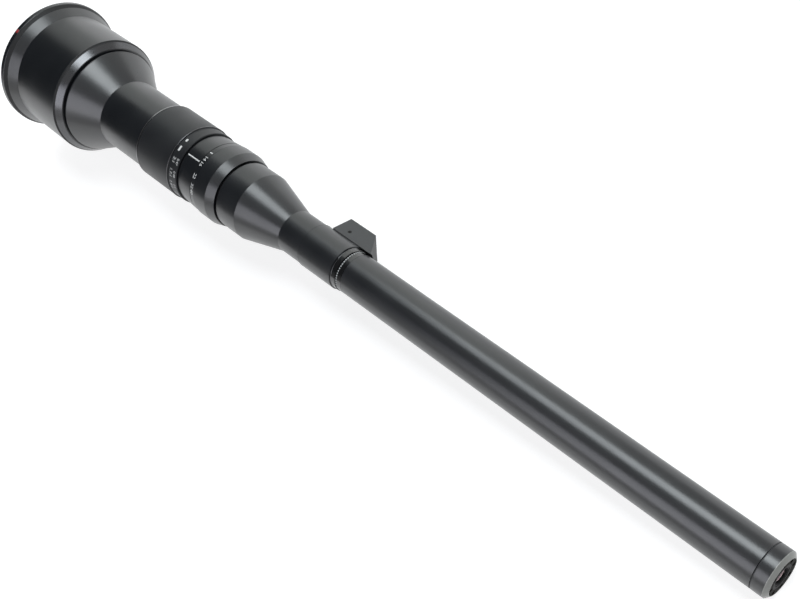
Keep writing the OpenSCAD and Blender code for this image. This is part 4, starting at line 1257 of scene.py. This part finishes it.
@dataclass
class Stage:
    """Floor, world, lamps and camera."""

    rim_x: float = 1.8 * MM
    middle_x: float = 0.25
    floor_half: float = 30.0
    floor_colour: Colour = (0.42, 0.42, 0.42)
    near_lift: float = 0.72
    far_lift: float = 0.84
    lift_reach: float = 0.5
    last_lift: float = 1.0
    last_reach: float = 1.5
    world_level: float = 0.04
    focal: float = 56.51
    camera_spot: tuple[float, float, float] = (0.5431, -0.0150, 0.4375)
    camera_turn_deg: tuple[float, float, float] = (22.287, 24.829, 40.85)
    softboxes: tuple[Softbox, ...] = (
        Softbox("softbox_left", 26.0, 1.2, -0.16, 0.52, 0.60, 4.5, (0.91, 0.97, 1.0)),
        Softbox("softbox_front", 26.0, 1.2, 0.44, 0.68, 0.60, 6.8, (0.91, 0.97, 1.0)),
        Softbox("softbox_right", -47.5, 1.2, 0.235, 1.01, 0.76, 2.5, (0.92, 0.93, 1.0)),
        Softbox("panel_top", -12.0, 1.4, 0.1, 1.3, 0.5, 0.4),
        Softbox("panel_rear", 65.0, 1.5, -1.25, 1.8, 1.9, 1.05, (0.96, 1.0, 0.98)),
        Softbox("panel_left", 70.0, 1.5, 0.0, 1.6, 1.1, 0.50),
        Softbox("panel_right", -75.0, 1.5, 0.0, 1.6, 0.9, 0.62),
    )

    def floor(self) -> None:
        """A white floor that the rim and the tip both stand on, level behind the rim."""
        near = Vector((self.rim_x, 0, -Node("mount_ring").radius))
        far = Vector((Node("tip_bezel").x1, 0, -Node("probe_tube").radius))
        rows = [near - Vector((self.floor_half, 0, 0)), near,
                near + (far - near).normalized() * self.floor_half]
        shape = bmesh.new()
        verts = [[shape.verts.new(row + Vector((0, side * self.floor_half, 0)))
                  for side in (-1, 1)] for row in rows]
        for here, there in zip(verts, verts[1:]):
            shape.faces.new((here[0], there[0], there[1], here[1]))
        floor = bpy.data.objects.new("floor", mesh_of("floor", shape))
        bpy.context.scene.collection.objects.link(floor)
        floor.data.materials.append(self.floor_paper())

    def floor_paper(self) -> bpy.types.Material:
        """White paper that shows lighter to the camera, in glass and in gloss, most far out.

        Returns:
            The material.
        """
        made = bpy.data.materials.new("floor_paper")
        made.use_nodes = True
        made.node_tree.nodes.clear()
        graph = Graph(made.node_tree)
        paper = graph.add("ShaderNodeBsdfDiffuse", {}, {"Color": rgba(self.floor_colour)})
        x, y, _ = graph.split(graph.place())
        away = ((x - self.middle_x) ** 2 + y * y) ** 0.5
        near = (away / self.lift_reach).clamp() * (self.far_lift - self.near_lift)
        far = ((away - self.lift_reach) / self.last_reach).clamp() * (self.last_lift - self.far_lift)
        share = (near + far) / (self.last_lift - self.near_lift)
        low = graph.add("ShaderNodeEmission", {}, {"Strength": self.near_lift})
        high = graph.add("ShaderNodeEmission", {}, {"Strength": self.last_lift})
        lifted = graph.add("ShaderNodeAddShader", {}, {0: paper, 1: graph.mix(share, low, high)})
        mixed = graph.mix(self.seen_rays(graph), paper, lifted)
        graph.add("ShaderNodeOutputMaterial", {}, {"Surface": mixed})
        return made

    @staticmethod
    def seen_rays(graph: Graph) -> Wire:
        """One for camera, glossy and transmission rays, else zero."""
        kinds = ("Is Camera Ray", "Is Glossy Ray", "Is Transmission Ray")
        return sum(graph.add("ShaderNodeLightPath", output=kind) for kind in kinds).clamp()

    def world(self) -> None:
        """Even, plain light from all round."""
        world = bpy.data.worlds.new("studio")
        world.use_nodes = True
        world.node_tree.nodes.clear()
        graph = Graph(world.node_tree)
        light = graph.add("ShaderNodeBackground", {}, {"Strength": self.world_level})
        graph.add("ShaderNodeOutputWorld", {}, {"Surface": light})
        bpy.context.scene.world = world

    def camera(self) -> None:
        """The camera at the photograph's place."""
        data = bpy.data.cameras.new("camera")
        data.sensor_width = 36.0
        data.lens = self.focal
        data.clip_start = 0.01
        data.clip_end = 50.0
        camera = bpy.data.objects.new("camera", data)
        camera.location = self.camera_spot
        camera.rotation_euler = Euler([math.radians(turn) for turn in self.camera_turn_deg])
        bpy.context.scene.collection.objects.link(camera)
        bpy.context.scene.camera = camera

    def build(self) -> None:
        """Makes the whole studio."""
        self.floor()
        self.world()
        self.camera()
        for softbox in self.softboxes:
            softbox.build()
        bpy.context.scene.view_settings.view_transform = "Standard"


def main() -> None:
    """Builds the studio and then the lens, part by part from the mount to the tip."""
    logging.basicConfig(level=logging.INFO, format="%(name)s: %(message)s")
    for part in (Stage(), RearHousing(), FocusRing(), ApertureRing(), Iris(), Optics(), Probe(),
                 Tip(), PowerBox()):
        part.build()


if __name__ == "__main__":
    main()
